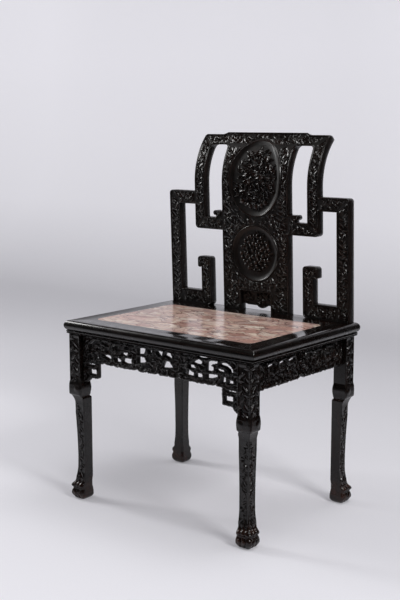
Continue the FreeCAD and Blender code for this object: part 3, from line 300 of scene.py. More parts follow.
def toSegments(points, start, end, fallback=1e3):
    # least distance from each point to a set of segments
    if not len(start):
        return np.full(len(points), fallback)
    nearest = np.full(len(points), 1e9)
    for i in range(0, len(points), 3000):
        p = points[i:i + 3000, None, :]
        run = (end - start)[None]
        share = np.clip(((p - start[None]) * run).sum(2) / np.maximum((run ** 2).sum(2), 1e-12), 0, 1)
        nearest[i:i + 3000] = np.sqrt((((p - start[None]) - share[..., None] * run) ** 2).sum(2)).min(1)
    return nearest


def insideOf(points, outlines):
    inside = np.zeros(len(points), bool)
    for outline in outlines:
        a, b = outline, np.roll(outline, -1, 0)
        for (x0, y0), (x1, y1) in zip(a, b):
            if y0 != y1:
                crossing = (y0 > points[:, 1]) != (y1 > points[:, 1])
                inside ^= crossing & (points[:, 0] < (x1 - x0) * (points[:, 1] - y0) / (y1 - y0) + x0)
    return inside


def resampled(outline, step):
    points = []
    for a, b in zip(outline, np.roll(outline, -1, 0)):
        count = max(1, int(round(np.linalg.norm(b - a) / step)))
        points += [a + (b - a) * i / count for i in range(count)]
    return np.array(points)


def inwardNormals(outline):
    # mitred normals, pointing to the left of the run, which is into the wood for a counter-clockwise outline
    after = np.roll(outline, -1, 0) - outline
    after /= np.maximum(np.linalg.norm(after, axis=1), 1e-9)[:, None]
    before = np.roll(after, 1, 0)
    left = lambda d: np.stack([-d[:, 1], d[:, 0]], 1)
    a, b = left(before), left(after)
    return (a + b) / np.maximum(1 + (a * b).sum(1), 0.35)[:, None], a, b


def area(outline):
    x, y = outline.T
    return 0.5 * (x * np.roll(y, -1) - y * np.roll(x, -1)).sum()


def triangulated(points, loops, outlines):
    # Delaunay triangles over the points, with the loops kept as edges, and none outside the outlines
    edges, at = [], 0
    for count in loops:
        edges += [(at + i, at + (i + 1) % count) for i in range(count)]
        at += count
    made = geometry.delaunay_2d_cdt([Vector(p) for p in points], edges, [], 0, 1e-6)
    corners = np.array([v[:] for v in made[0]])
    triangles = np.array([f for f in made[2] if len(f) == 3])
    middles = corners[triangles].mean(1)
    triangles = triangles[insideOf(middles, outlines)]
    a, b, c = corners[triangles[:, 0]], corners[triangles[:, 1]], corners[triangles[:, 2]]
    turn = (b[:, 0] - a[:, 0]) * (c[:, 1] - a[:, 1]) - (b[:, 1] - a[:, 1]) * (c[:, 0] - a[:, 0])
    triangles[turn < 0] = triangles[turn < 0][:, ::-1]
    return corners, triangles


def mergedRuns(outlines, chosen):
    # the chosen short segments of the outlines, with straight neighbours joined into one
    starts, ends, at = [], [], 0
    for outline in outlines:
        picked = chosen[at:at + len(outline)]
        at += len(outline)
        for i, (a, b) in enumerate(zip(outline, np.roll(outline, -1, 0))):
            if not picked[i]:
                continue
            if starts and i and picked[i - 1]:
                run, more = ends[-1] - starts[-1], b - a
                if abs(run[0] * more[1] - run[1] * more[0]) < 1e-3 * np.linalg.norm(run) * np.linalg.norm(more):
                    ends[-1] = b
                    continue
            starts.append(a)
            ends.append(b)
    return np.array(starts).reshape(-1, 2), np.array(ends).reshape(-1, 2)


beadRows = [(0, 1.9), (0.25, 1.15), (0.6, 0.7), (1.2, 0.3), (2.0, 0.15), (2.8, 0.3), (3.4, 0.75)]
beadRings = (0.25, 0.6, 1.2, 2.0, 2.8, 3.4, 4.2, 5.0)


def bead(d, ground):
    # depth below the CAD face at a distance from a free edge: rounded arris, bead, then the sunk ground
    return fromTable(beadRows + [(4.2, ground - 0.1), (5.0, ground)], d)


plateLook = {
    "hairline": 0.4,            # points beside a joint, where the two pieces' arrises are eased
    "hairlineDepth": 0.35,
    "clear": 0.12, "apart": 0.3,            # least distance of a point from an outline, and from another point
    "guideClear": (-4.6, 1.2),  # the even field keeps out of a medallion's rim, and rings of points take its place
    "guideRings": (-4.1, -3.2, -2.4, -1.7, -1.0, -0.2, 0.7),
    "guideTurns": 300,
    "wallRows": [(0.0, 1.0), (0.3, 0.4), (1.0, 0.0)],       # shares of the rear arris's rounding, inward and outward
}


def carvedPlate(outlines, joints, front, rear, depthAt, step=2.0, grid=2.5, rings=beadRings,
                rearRound=0.8, creases=(), guides=()):
    # one closed plate: carved front, walls with the rear arris eased, and a plain rear
    plate = plateLook
    outlines = [resampled(o, step) for o in sorted(outlines, key=lambda o: -abs(area(o)))]
    outlines = [o if (area(o) > 0) == (i == 0) else o[::-1] for i, o in enumerate(outlines)]
    starts, ends = segmentsOf(outlines)
    middles = (starts + ends) / 2
    jointed = joints(middles)
    freeStart, freeEnd = mergedRuns(outlines, ~jointed)
    jointStart, jointEnd = mergedRuns(outlines, jointed)
    extra = []
    for outline in outlines:
        mitred, before, after = inwardNormals(outline)
        for offset in rings:
            for normal in (mitred, before, after):
                moved = outline + normal * offset
                extra.append(moved[toSegments(moved, freeStart, freeEnd) > offset - 0.03])
        for normal in (before, after):      # a hairline beside each joint
            moved = outline + normal * plate["hairline"]
            extra.append(moved[toSegments(moved, jointStart, jointEnd) < 0.45])
    low, high = starts.min(0), starts.max(0)
    across, up = np.meshgrid(np.arange(low[0], high[0], grid), np.arange(low[1], high[1], grid * 0.87))
    across = across + (np.arange(across.shape[0]) % 2)[:, None] * grid / 2
    field = np.stack([across.ravel(), up.ravel()], 1)
    if len(freeStart):
        field = field[toSegments(field, freeStart, freeEnd) > rings[-1] + grid * 0.4]
    field = field[toSegments(field, jointStart, jointEnd) > grid * 0.4]
    for look in guides:
        reach = reachInto(look, field)
        field = field[(reach < plate["guideClear"][0]) | (reach > plate["guideClear"][1])]
        turns = np.linspace(0, 2 * math.pi, plate["guideTurns"], endpoint=False)
        direction = np.stack([np.cos(turns), np.sin(turns)], 1)
        span = 1 / np.linalg.norm(direction / (look["wide"], look["high"]), axis=1)
        extra += [direction * (span - offset)[:, None] + (look["x"], look["z"]) for offset in plate["guideRings"]]
    extra.append(field)
    extra = np.concatenate(extra)
    extra = extra[insideOf(extra, outlines)]
    extra = extra[toSegments(extra, starts, ends) > plate["clear"]]
    cells = np.unique(np.round(extra / plate["apart"]).astype(int), axis=0, return_index=True)[1]
    extra = extra[np.sort(cells)]
    flat, faces = triangulated(np.concatenate([starts, extra]), [len(o) for o in outlines], outlines)
    edgeDistance = toSegments(flat, freeStart, freeEnd)
    depth = depthAt(flat, edgeDistance)
    eased = plate["hairlineDepth"]
    depth = depth + np.interp(toSegments(flat, jointStart, jointEnd), [0, eased], [eased, 0.0])
    points = [np.stack([flat[:, 0], flat[:, 1], front(flat[:, 0], flat[:, 1]) + depth], 1)]
    carve = [np.interp(depth, [0.2, 2.0], [1.0, 0.0])]
    allFaces = [faces.tolist()]
    total = len(flat)
    at = 0
    rearLoops = []
    for outline in outlines:                # the walls
        count = len(outline)
        inward = np.clip(inwardNormals(outline)[0], -1.5, 1.5)
        eased = np.where(np.maximum(jointed, np.roll(jointed, 1))[at:at + count], 0.0, rearRound)
        frontDepth = depth[at:at + count] + front(outline[:, 0], outline[:, 1])
        back = rear(outline[:, 0], outline[:, 1])
        back = np.maximum(back, frontDepth + 0.05)
        previous = list(range(at, at + count))
        for inShare, outShare in plate["wallRows"]:
            spot = outline + inward * (eased * inShare)[:, None]
            w = np.maximum(back - rearRound * outShare, frontDepth + 0.02)
            points.append(np.stack([spot[:, 0], spot[:, 1], w], 1))
            carve.append(np.full(count, 0.85))
            current = list(range(total, total + count))
            allFaces.append([[previous[i], current[i], current[(i + 1) % count], previous[(i + 1) % count]]
                             for i in range(count)])
            previous, total = current, total + count
        rearLoops.append((spot, previous))
        at += count
    rearStart = np.concatenate([spot for spot, _ in rearLoops])
    rearIndex = np.concatenate([index for _, index in rearLoops])
    coarse = max(grid * 3, 7.0)
    rows = np.concatenate([np.arange(low[1] + 1, high[1], coarse), list(creases)])
    across, up = np.meshgrid(np.arange(low[0], high[0], coarse), rows)
    field = np.stack([across.ravel(), up.ravel()], 1)
    field = field[insideOf(field, [spot for spot, _ in rearLoops])]
    field = field[toSegments(field, starts, ends) > coarse * 0.3]
    flatRear, facesRear = triangulated(np.concatenate([rearStart, field]), [len(spot) for spot, _ in rearLoops],
                                       [spot for spot, _ in rearLoops])
    inner = flatRear[len(rearStart):]
    points.append(np.stack([inner[:, 0], inner[:, 1], rear(inner[:, 0], inner[:, 1])], 1))
    carve.append(np.full(len(inner), 0.8))
    renumber = np.concatenate([rearIndex, np.arange(total, total + len(inner))])
    allFaces.append([f[::-1] for f in renumber[facesRear].tolist()])
    return np.concatenate(points), sum(allFaces, []), np.concatenate(carve)


def makePiece(name, parts, fromFlat, wood, nodeName, smooth=38.0):
    # joins plate and relief into one mesh at its place, in metres
    points, faces, carve, total = [], [], [], 0
    for flat, flatFaces, flatCarve in parts:
        points.append(fromFlat(flat))
        carve.append(flatCarve)
        faces += [[i + total for i in face] for face in flatFaces]
        total += len(flat)
    points = np.concatenate(points) / 1000
    mesh = bpy.data.meshes.new(name)
    mesh.from_pydata(points.tolist(), [], faces)
    mesh.validate()
    mesh.shade_smooth()
    mesh.set_sharp_from_angle(angle=math.radians(smooth))
    mesh.attributes.new("carve", "FLOAT", "POINT").data.foreach_set("value", np.concatenate(carve).astype(np.float32))
    mesh.materials.append(wood)
    piece = newObject(name, mesh)
    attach(piece, "root")
    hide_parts(nodeName)


# ---- carving in relief: Geometry Nodes lay vines along paths, scatter shapes over faces or place them at points,
# all flat in X and Y, and the result is then set on the wood

def templateMesh(name, points, faces):
    mesh = bpy.data.meshes.new(name)
    mesh.from_pydata([tuple(p) for p in points], [], faces)
    mesh.shade_smooth()
    template = newObject(name, mesh)
    template.hide_render = True
    return template


# sections of the carved shapes: place across and share of the height
leafRows = ((-1, -0.25), (-0.62, 0.85), (-0.12, 0.72), (0.0, 0.5), (0.12, 0.72), (0.62, 1.0), (1, -0.25))
curlRows = ((-1, -0.3), (-0.6, 0.75), (0, 1.0), (0.6, 0.75), (1, -0.3))
berryRows = ((0.26, 0.93), (0.44, 0.6), (0.5, -0.2))
petalRidge, petalEdge = (0.75, 0.95, 1.0, -0.2), (0.3, 0.1, 0.1, -0.2)      # heights from the heart out


def leafTemplate(name, width, height, bend, stations=7):
    # one carved leaf along +X, 1 long: a hollow down the middle, two full sides and a turned tip
    points, faces = [], []
    for i in range(stations):
        along = i / (stations - 1)
        half = width * math.sin(math.pi * min(1, 0.06 + along ** 0.8 * 0.94)) ** 0.75
        crest = height * math.sin(math.pi * (0.12 + 0.83 * along)) ** 0.7
        for side, lift in leafRows:
            points.append((along, side * half + bend * along * along, crest * lift if lift > 0 else height * lift))
    for i in range(stations - 1):
        faces += [(i * 7 + j, (i + 1) * 7 + j, (i + 1) * 7 + j + 1, i * 7 + j + 1) for j in range(6)]
    return templateMesh(name, points, faces)


def curlTemplate(name, radius, height, turns=1.2, stations=15):
    # a tendril that rolls up into a bud, 1 long
    points, faces = [], []
    for i in range(stations):
        along = i / (stations - 1)
        angle = -math.pi / 2 + turns * 2 * math.pi * along
        swing = 0.42 * (1 - 0.8 * along)
        centre = (0.5 + swing * math.cos(angle), 0.42 + swing * math.sin(angle))
        out = (math.cos(angle), math.sin(angle))
        thick = radius * (0.55 + 0.9 * along)
        for share, lift in curlRows:
            points.append((centre[0] + out[0] * thick * share, centre[1] + out[1] * thick * share,
                           height * lift * (0.7 + 0.3 * along)))
    for i in range(stations - 1):
        faces += [(i * 5 + j, i * 5 + j + 1, (i + 1) * 5 + j + 1, (i + 1) * 5 + j) for j in range(4)]
    return templateMesh(name, points, faces)


def berryTemplate(name, height, sides=8):
    points, faces = [(0, 0, height)], []
    for ring, (radius, lift) in enumerate(berryRows):
        turns = [2 * math.pi * i / sides for i in range(sides)]
        points += [(radius * math.cos(turn), radius * math.sin(turn), height * lift) for turn in turns]
        for i in range(sides):
            j = (i + 1) % sides
            if ring == 0:
                faces.append((0, 1 + i, 1 + j))
            else:
                a, b = 1 + (ring - 1) * sides, 1 + ring * sides
                faces.append((a + i, b + i, b + j, a + j))
    return templateMesh(name, points, faces)


def blossomTemplate(name, height, petals=5):
    points, faces = [], []
    for k in range(petals):
        turn = 2 * math.pi * k / petals
        at = len(points)
        for i in range(4):
            along = 0.1 + 0.4 * i / 3
            half = 0.25 * math.sin(math.pi * (0.25 + 0.7 * i / 3)) + 0.02
            for side in (-1, -0.45, 0.45, 1):
                lift = height * (petalRidge if abs(side) < 1 else petalEdge)[i]
                x, y = along, side * half
                points.append((x * math.cos(turn) - y * math.sin(turn), x * math.sin(turn) + y * math.cos(turn), lift))
        corners = [at + i * 4 + j for i in range(3) for j in range(3)]
        faces += [(a, a + 4, a + 5, a + 1) for a in corners]
    at = len(points)            # the heart
    turns = [i * math.pi / 3 for i in range(6)]
    points += [(0, 0, height * 1.15)]
    points += [(0.13 * math.cos(turn), 0.13 * math.sin(turn), height * 0.45) for turn in turns]
    faces += [(at, at + 1 + i, at + 1 + (i + 1) % 6) for i in range(6)]
    return templateMesh(name, points, faces)


def newTree(name, sockets):
    tree = bpy.data.node_groups.new(name, "GeometryNodeTree")
    tree.interface.new_socket(name="Geometry", in_out="INPUT", socket_type="NodeSocketGeometry")
    tree.interface.new_socket(name="Geometry", in_out="OUTPUT", socket_type="NodeSocketGeometry")
    for socketName, kind in sockets.items():
        tree.interface.new_socket(name=socketName, in_out="INPUT", socket_type="NodeSocket" + kind)
    return tree, addNode(tree, "NodeGroupInput").outputs


def placedShapes(tree, points, template, rotation, scale):
    shape = addNode(tree, "GeometryNodeObjectInfo", None, {"Object": template, "As Instance": True})
    return addNode(tree, "GeometryNodeInstanceOnPoints", None, {"Points": points, "Instance": shape.outputs["Geometry"],
                                                                "Rotation": rotation, "Scale": scale})


def variedScale(tree, given, least, most):
    # the size differs a little from shape to shape
    jitter = addNode(tree, "FunctionNodeRandomValue", {"data_type": "FLOAT"},
                     {2: least, 3: most, "Seed": given["Seed"]}).outputs[1]
    sized = addNode(tree, "ShaderNodeMath", {"operation": "MULTIPLY"}, {0: jitter, 1: given["Size"]})
    return addNode(tree, "ShaderNodeCombineXYZ", None, {"X": sized, "Y": sized, "Z": jitter})


def closedTree(tree, shapes, wood):
    whole = addNode(tree, "GeometryNodeRealizeInstances", None, {0: shapes})
    finished = addNode(tree, "GeometryNodeSetMaterial", None, {"Geometry": whole, "Material": wood})
    addNode(tree, "NodeGroupOutput", None, {0: finished})
    return tree


def makeVineTree():
    tree, given = newTree("vineAlongPath", {
        "Leaf": "Object", "Curl": "Object", "Leaf spacing": "Float", "Leaf size": "Float", "Leaf angle": "Float",
        "Curl spacing": "Float", "Curl size": "Float", "Stem radius": "Float", "Swing": "Float", "Wave length": "Float",
        "Seed": "Int", "Wood": "Material"})
    path = addNode(tree, "GeometryNodeMeshToCurve", None, {"Mesh": given["Geometry"]})
    fine = addNode(tree, "GeometryNodeResampleCurve", {"mode": "LENGTH"}, {"Curve": path, "Length": 1.6})
    along = addNode(tree, "GeometryNodeSplineParameter").outputs["Length"]
    tangent = addNode(tree, "GeometryNodeInputTangent")
    side = addNode(tree, "ShaderNodeVectorMath", {"operation": "CROSS_PRODUCT"}, {0: tangent, 1: (0, 0, 1)})
    turns = addNode(tree, "ShaderNodeMath", {"operation": "DIVIDE"}, {0: along, 1: given["Wave length"]})
    angle = addNode(tree, "ShaderNodeMath", {"operation": "MULTIPLY"}, {0: turns, 1: 2 * math.pi})
    wave = addNode(tree, "ShaderNodeMath", {"operation": "SINE"}, {0: angle})
    reach = addNode(tree, "ShaderNodeMath", {"operation": "MULTIPLY"}, {0: wave, 1: given["Swing"]})
    offset = addNode(tree, "ShaderNodeVectorMath", {"operation": "SCALE"}, {0: side, "Scale": reach})
    waved = addNode(tree, "GeometryNodeSetPosition", None, {"Geometry": fine, "Offset": offset})
    ring = addNode(tree, "GeometryNodeCurvePrimitiveCircle", None, {"Resolution": 6, "Radius": given["Stem radius"]})
    layers = [addNode(tree, "GeometryNodeCurveToMesh", None,
                      {"Curve": waved, "Profile Curve": ring, "Fill Caps": True})]
    for template, seedStep in (("Leaf", 0.0), ("Curl", 7.0)):       # they stand on either side in turn
        points = addNode(tree, "GeometryNodeCurveToPoints", {"mode": "LENGTH"},
                         {"Curve": waved, "Length": given[template + " spacing"]})
        index = addNode(tree, "GeometryNodeInputIndex")
        odd = addNode(tree, "ShaderNodeMath", {"operation": "MODULO"}, {0: index, 1: 2.0})
        sign = addNode(tree, "ShaderNodeMath", {"operation": "MULTIPLY_ADD"}, {0: odd, 1: 2.0, 2: -1.0})
        seed = addNode(tree, "ShaderNodeMath", {"operation": "ADD"}, {0: given["Seed"], 1: seedStep})
        jitter = addNode(tree, "FunctionNodeRandomValue", {"data_type": "FLOAT"},
                         {2: 0.7, 3: 1.3, "Seed": seed}).outputs[1]
        swing = addNode(tree, "ShaderNodeMath", {"operation": "MULTIPLY"}, {0: jitter, 1: given["Leaf angle"]})
        turned = addNode(tree, "ShaderNodeMath", {"operation": "MULTIPLY"}, {0: swing, 1: sign})
        euler = addNode(tree, "ShaderNodeCombineXYZ", None, {"Z": turned})
        aligned = addNode(tree, "FunctionNodeAlignRotationToVector", {"axis": "X"},
                          {"Vector": points.outputs["Tangent"]})
        rotation = addNode(tree, "FunctionNodeRotateRotation", {"rotation_space": "LOCAL"}, {0: aligned, 1: euler})
        sized = addNode(tree, "ShaderNodeMath", {"operation": "MULTIPLY"}, {0: jitter, 1: given[template + " size"]})
        flip = addNode(tree, "ShaderNodeMath", {"operation": "MULTIPLY"}, {0: sized, 1: sign})
        scale = addNode(tree, "ShaderNodeCombineXYZ", None, {"X": sized, "Y": flip, "Z": 1.0})
        layers.append(placedShapes(tree, points, given[template], rotation, scale))
    joined = addNode(tree, "GeometryNodeJoinGeometry", None, {0: layers})
    return closedTree(tree, joined, given["Wood"])


def makeScatterTree():
    tree, given = newTree("carvingOverFaces", {
        "Shape": "Object", "Apart": "Float", "Size": "Float", "Grain angle": "Float", "Spread": "Float",
        "Seed": "Int", "Wood": "Material"})
    points = addNode(tree, "GeometryNodeDistributePointsOnFaces", {"distribute_method": "POISSON"},
                     {"Mesh": given["Geometry"], "Distance Min": given["Apart"], "Density Max": 1.0,
                      "Seed": given["Seed"]})
    where = addNode(tree, "GeometryNodeInputPosition")
    drift = addNode(tree, "ShaderNodeTexNoise", None, {"Vector": where, "Scale": 0.035, "Detail": 1.0})
    centred = addNode(tree, "ShaderNodeMath", {"operation": "SUBTRACT"}, {0: drift.outputs["Fac"], 1: 0.5})
    wander = addNode(tree, "ShaderNodeMath", {"operation": "MULTIPLY_ADD"},
                     {0: centred, 1: given["Spread"], 2: given["Grain angle"]})
    rotation = addNode(tree, "ShaderNodeCombineXYZ", None, {"Z": wander})
    placed = placedShapes(tree, points, given["Shape"], rotation, variedScale(tree, given, 0.75, 1.2))
    return closedTree(tree, placed, given["Wood"])


def makePlaceTree():
    tree, given = newTree("carvingAtPoints", {
        "Shape": "Object", "Size": "Float", "Turn": "Float", "Seed": "Int", "Wood": "Material"})
    turn = addNode(tree, "FunctionNodeRandomValue", {"data_type": "FLOAT"},
                   {2: 0.0, 3: given["Turn"], "Seed": given["Seed"]}).outputs[1]
    rotation = addNode(tree, "ShaderNodeCombineXYZ", None, {"Z": turn})
    placed = placedShapes(tree, given["Geometry"], given["Shape"], rotation, variedScale(tree, given, 0.8, 1.15))
    return closedTree(tree, placed, given["Wood"])


def grown(tree, points, edges, faces, settings):
    # runs a tree over a flat carrier and returns its points and faces
    mesh = bpy.data.meshes.new("carrier")
    mesh.from_pydata([(p[0], p[1], 0.0) for p in points], edges, faces)
    carrier = newObject("carrier", mesh)
    modifier = carrier.modifiers.new("carving", "NODES")
    modifier.node_group = tree
    for item in tree.interface.items_tree:
        if item.in_out == "INPUT" and item.name in settings:
            modifier[item.identifier] = settings[item.name]
    bpy.context.view_layer.update()
    made = bpy.data.meshes.new_from_object(carrier.evaluated_get(bpy.context.evaluated_depsgraph_get()))
    co = np.zeros(len(made.vertices) * 3)
    made.vertices.foreach_get("co", co)
    polygons = [tuple(p.vertices) for p in made.polygons]
    carrier.modifiers.remove(modifier)
    bpy.data.objects.remove(carrier)
    bpy.data.meshes.remove(mesh)
    bpy.data.meshes.remove(made)
    return co.reshape(-1, 3), polygons


vineTree = makeVineTree()
scatterTree = makeScatterTree()
placeTree = makePlaceTree()
leaf = leafTemplate("leafShape", 0.25, 2.5, 0.2)
broadLeaf = leafTemplate("broadLeafShape", 0.34, 2.7, 0.26)
curl = curlTemplate("curlShape", 0.12, 2.5)
berry = berryTemplate("berryShape", 3.8)
blossom = blossomTemplate("blossomShape", 3.8)
vineLook = {"Leaf": broadLeaf, "Curl": curl, "Leaf spacing": 9.0, "Leaf size": 18.5, "Leaf angle": 0.75,
            "Curl spacing": 31.0, "Curl size": 13.0, "Stem radius": 1.2, "Swing": 4.0, "Wave length": 58.0,
            "Seed": 3, "Wood": uprightRosewood}
fullTurn = 6.28


def edgeFrom(outlines):
    # distance inside the outlines, below zero outside them
    starts, ends = segmentsOf(outlines)
    return lambda flat: toSegments(flat, starts, ends) * np.where(insideOf(flat, outlines), 1, -1)


def vines(paths, floorAt, frontAt, edgeAt, proud=-0.06, lift=1.0, **changes):
    # vines along flat paths, standing on the ground that floorAt gives below the CAD face
    parts = []
    for i, path in enumerate(paths):
        look = dict(vineLook, **changes)
        look["Seed"] = look["Seed"] + i
        points = np.array(path, float)
        found, polygons = grown(vineTree, points, [(j, j + 1) for j in range(len(points) - 1)], [], look)
        parts.append(settled(found, polygons, floorAt, frontAt, edgeAt, proud, lift))
    return parts


settleLook = {
    "grow": [(3.0, 0.0), (6.0, 1.0)],       # share of its height by the distance from an edge
    "sink": [(2.0, 1.2), (5.0, 0.0)],       # and how far it goes down into the ground
    "least": 1.0,                           # nearer to the edge nothing is left
    "wornHeight": 2.3,
}


def settled(found, polygons, floorAt, frontAt, edgeAt, proud=-0.06, lift=1.0):
    # sets flat carving on its ground, lets it sink where it nears an edge, and drops what would pass the edge
    look = settleLook
    edge = edgeAt(found[:, :2])
    height = lift * found[:, 2] * fromTable(look["grow"], edge) - fromTable(look["sink"], edge)
    w = frontAt(found[:, 0], found[:, 1]) + np.maximum(floorAt(found[:, :2]) - height, -proud)
    inside = (edge > look["least"]).tolist()
    kept = [face for face in polygons if all(inside[i] for i in face)]
    carve = fromTable([(0.0, 0.15), (look["wornHeight"] * lift, 1.0)], height)
    used = np.unique(np.array([i for face in kept for i in face], int))
    renumber = dict(zip(used.tolist(), range(len(used))))
    points = np.stack([found[:, 0], found[:, 1], w], 1)
    return points[used], [tuple(renumber[i] for i in face) for face in kept], carve[used]


def scattered(tree, points, faces, floorAt, frontAt, edgeAt, proud=-0.06, lift=1.0, **look):
    look.setdefault("Wood", uprightRosewood)
    found, polygons = grown(tree, points, [], faces, look)
    return settled(found, polygons, floorAt, frontAt, edgeAt, proud, lift)


def mirrored(paths):
    return [[(-x, z) for x, z in path] for path in paths]


def onBothSides(paths):
    return paths + mirrored(paths)


def sheetOver(outline):
    # flat carrier over the whole of a face
    low, high = outline.min(0), outline.max(0)
    return [(low[0], low[1]), (high[0], low[1]), (high[0], high[1]), (low[0], high[1])], [(0, 1, 2, 3)]


# ---- the back

medallions = {
    "oval": {"x": 0.0, "z": 840.6, "wide": 83.0, "high": 99.0, "wall": 13.0, "depth": 5.9},
    "round": {"x": 0.0, "z": 639.5, "wide": 73.0, "high": 73.0, "wall": 11.0, "depth": 5.7},
}
rimStart = -4.1                 # the raised rim lies outside the medallion's edge
rimRows = [(-3.2, 1.5), (-2.4, 0.2), (-1.7, -0.25), (-1.0, 0.15), (-0.2, 1.3)]      # reach inward and depth
wallRows = [(0.35, 0.6), (0.7, 0.88), (1.0, 1.0)]       # shares of the wall's width and of the floor's depth
broadNodes = ("splat", "crest_rail")


def reachInto(look, flat):
    # distance from the edge of a medallion, above zero inside it
    away = (flat - (look["x"], look["z"])) / (look["wide"], look["high"])
    radius = np.linalg.norm(away, axis=1)
    return np.linalg.norm(flat - (look["x"], look["z"]), axis=1) * (1 / np.maximum(radius, 1e-6) - 1)


def bowlDepth(flat, ground):
    depth = np.full(len(flat), ground)
    inRim = np.zeros(len(flat), bool)
    for look in medallions.values():
        reach = reachInto(look, flat)
        wall = [(share * look["wall"], down * look["depth"]) for share, down in wallRows]
        profile = fromTable([(rimStart, ground)] + rimRows + wall, reach)
        close = reach > rimStart
        depth = np.where(close, profile, depth)
        inRim |= close
    return depth, inRim


def backDepth(ground):
    def depthAt(flat, d):
        base, inRim = bowlDepth(flat, ground)
        ripple = 0.12 * np.sin(flat[:, 0] * 1.9 + 2.0 * np.sin(flat[:, 1] * 0.31)) * np.sin(flat[:, 1] * 2.3)
        edge = bead(d, ground)
        return np.where(inRim, np.where(d < 4, np.minimum(edge, base), base), np.where(d < 5, edge, base + ripple))
    return depthAt


backNodes = ["crest_rail", "splat", "left_stile", "right_stile", "left_hook_rail", "right_hook_rail",
             "left_shoulder_arm", "right_shoulder_arm", "left_outer_post", "right_outer_post",
             "left_foot_rail", "right_foot_rail", "left_inner_upright", "right_inner_upright"]
flatBack = lambda c: (c.x, c.z, c.y)
unflatBack = lambda p: np.stack([p[:, 0], p[:, 2], p[:, 1]], 1)
backOutlines = {}
for name in backNodes:
    found = faceOutlines(name, flatBack, lambda z: backFront(np.array(z)))
    outline = max(found, key=lambda o: abs(area(o)))
    oval = medallions["oval"]
    if name in broadNodes:      # the oval runs over both, so its edge is left to the height of the face
        spread = np.linalg.norm((outline - (oval["x"], oval["z"])) / (oval["wide"], oval["high"]), axis=1)
        outline = outline[abs(spread - 1) > 0.012]
    backOutlines[name] = outline


groundDepth = 2.6
crestCrease = 943.8         # height where the rear of the crest turns into its cut end
backPaths = {
    "splat": onBothSides([
        [(70, 484), (84, 520), (78, 548), (93, 590), (94, 634), (90, 672), (88, 700)],
        [(66, 548), (50, 556), (30, 548), (6, 553)],
        [(60, 700), (74, 716), (92, 722), (90, 760), (93, 800), (94, 850), (90, 890), (76, 912)],
        [(6, 712), (24, 720), (48, 722), (62, 734)]]),
    "crest_rail": onBothSides([[(4, 949), (30, 949), (52, 944), (90, 945), (130, 942), (165, 943), (190, 950)],
                               [(66, 932), (88, 930)]]),
    "stile": [[(187, 714), (188, 760), (187, 820), (188, 880), (187, 930), (183, 938)]],
    "hook_rail": [[(192, 704), (170, 713), (140, 712), (114, 712)], [(114, 730), (128, 736)]],
    "shoulder_arm": [[(209, 781), (240, 783), (272, 781), (284, 786)]],
    "outer_post": [[(278, 486), (278, 560), (277, 640), (278, 720), (278, 768)]],
    "foot_rail": [[(254, 500), (225, 499), (196, 501), (176, 496)]],
    "inner_upright": [[(169, 500), (171, 540), (170, 580), (172, 600), (186, 608)]],
}


def disc(look, share):
    # flat carrier over the floor of a medallion
    ring = [(look["x"] + share * look["wide"] * math.cos(t), look["z"] + share * look["high"] * math.sin(t))
            for t in np.linspace(0, 2 * math.pi, 48, endpoint=False)]
    return ring, [tuple(range(48))]


# the plant in the oval, as shares of its half width and half height
plantPaths = [
    [(-0.13, -0.68), (-0.05, -0.43), (0.05, -0.18), (0.0, 0.08), (0.08, 0.33), (0.03, 0.64)],
    [(-0.05, -0.45), (-0.29, -0.33), (-0.47, -0.12), (-0.52, 0.16)],
    [(0.03, -0.27), (0.29, -0.21), (0.5, -0.04), (0.55, 0.23)],
    [(0.0, 0.02), (-0.24, 0.16), (-0.37, 0.37), (-0.31, 0.6)],
    [(0.05, 0.17), (0.26, 0.27), (0.37, 0.47)],
    [(-0.13, -0.68), (-0.39, -0.62), (-0.55, -0.49), (-0.65, -0.27)],
    [(-0.13, -0.68), (0.18, -0.64), (0.44, -0.5), (0.63, -0.29)],
]
plantBlossoms = [(0.03, 0.68), (-0.31, 0.64), (0.39, 0.52), (-0.54, 0.21), (0.56, 0.29), (0.0, 0.12), (-0.21, 0.33),
                 (0.26, 0.04), (-0.26, -0.1), (0.18, 0.41), (-0.58, -0.21), (0.6, -0.21)]
plantStones = [(-0.34, -0.7), (-0.16, -0.75), (0.05, -0.76), (0.26, -0.72), (0.42, -0.64), (-0.5, -0.62)]


def medallionRelief():
    oval = medallions["oval"]
    inOval = lambda shares: [(oval["x"] + u * oval["wide"], oval["z"] + v * oval["high"]) for u, v in shares]
    frontAt = lambda u, v: backFront(v)
    floorAt = lambda flat: bowlDepth(flat, groundDepth)[0]
    deep = lambda flat: np.full(len(flat), 9.0)
    parts = vines([inOval(path) for path in plantPaths], floorAt, frontAt, deep, 0.3, 1.5, **{
        "Leaf size": 17.0, "Leaf spacing": 8.5, "Stem radius": 1.6, "Swing": 1.5, "Curl size": 15.0,
        "Curl spacing": 34.0, "Leaf angle": 1.0})
    inOvalFloor, inRoundFloor = disc(oval, 0.72), disc(medallions["round"], 0.64)
    for tree, (points, faces), lift, look in (
            (placeTree, (inOval(plantBlossoms), []), 1.2,
             {"Shape": blossom, "Size": 19.0, "Turn": fullTurn, "Seed": 4}),
            (placeTree, (inOval(plantStones), []), 1.0,
             {"Shape": berry, "Size": 16.0, "Turn": fullTurn, "Seed": 2}),
            (scatterTree, inOvalFloor, 1.2,
             {"Shape": leaf, "Apart": 13.0, "Size": 15.0, "Grain angle": 1.2, "Spread": 9.0, "Seed": 5}),
            (scatterTree, inRoundFloor, 1.25,
             {"Shape": berry, "Apart": 10.5, "Size": 10.5, "Grain angle": 0.0, "Spread": 6.0, "Seed": 8}),
            (scatterTree, inRoundFloor, 1.3,
             {"Shape": broadLeaf, "Apart": 13.0, "Size": 15.0, "Grain angle": 0.6, "Spread": 12.0, "Seed": 21})):
        parts.append(scattered(tree, points, faces, floorAt, frontAt, deep, 0.3, lift, **look))
    return parts


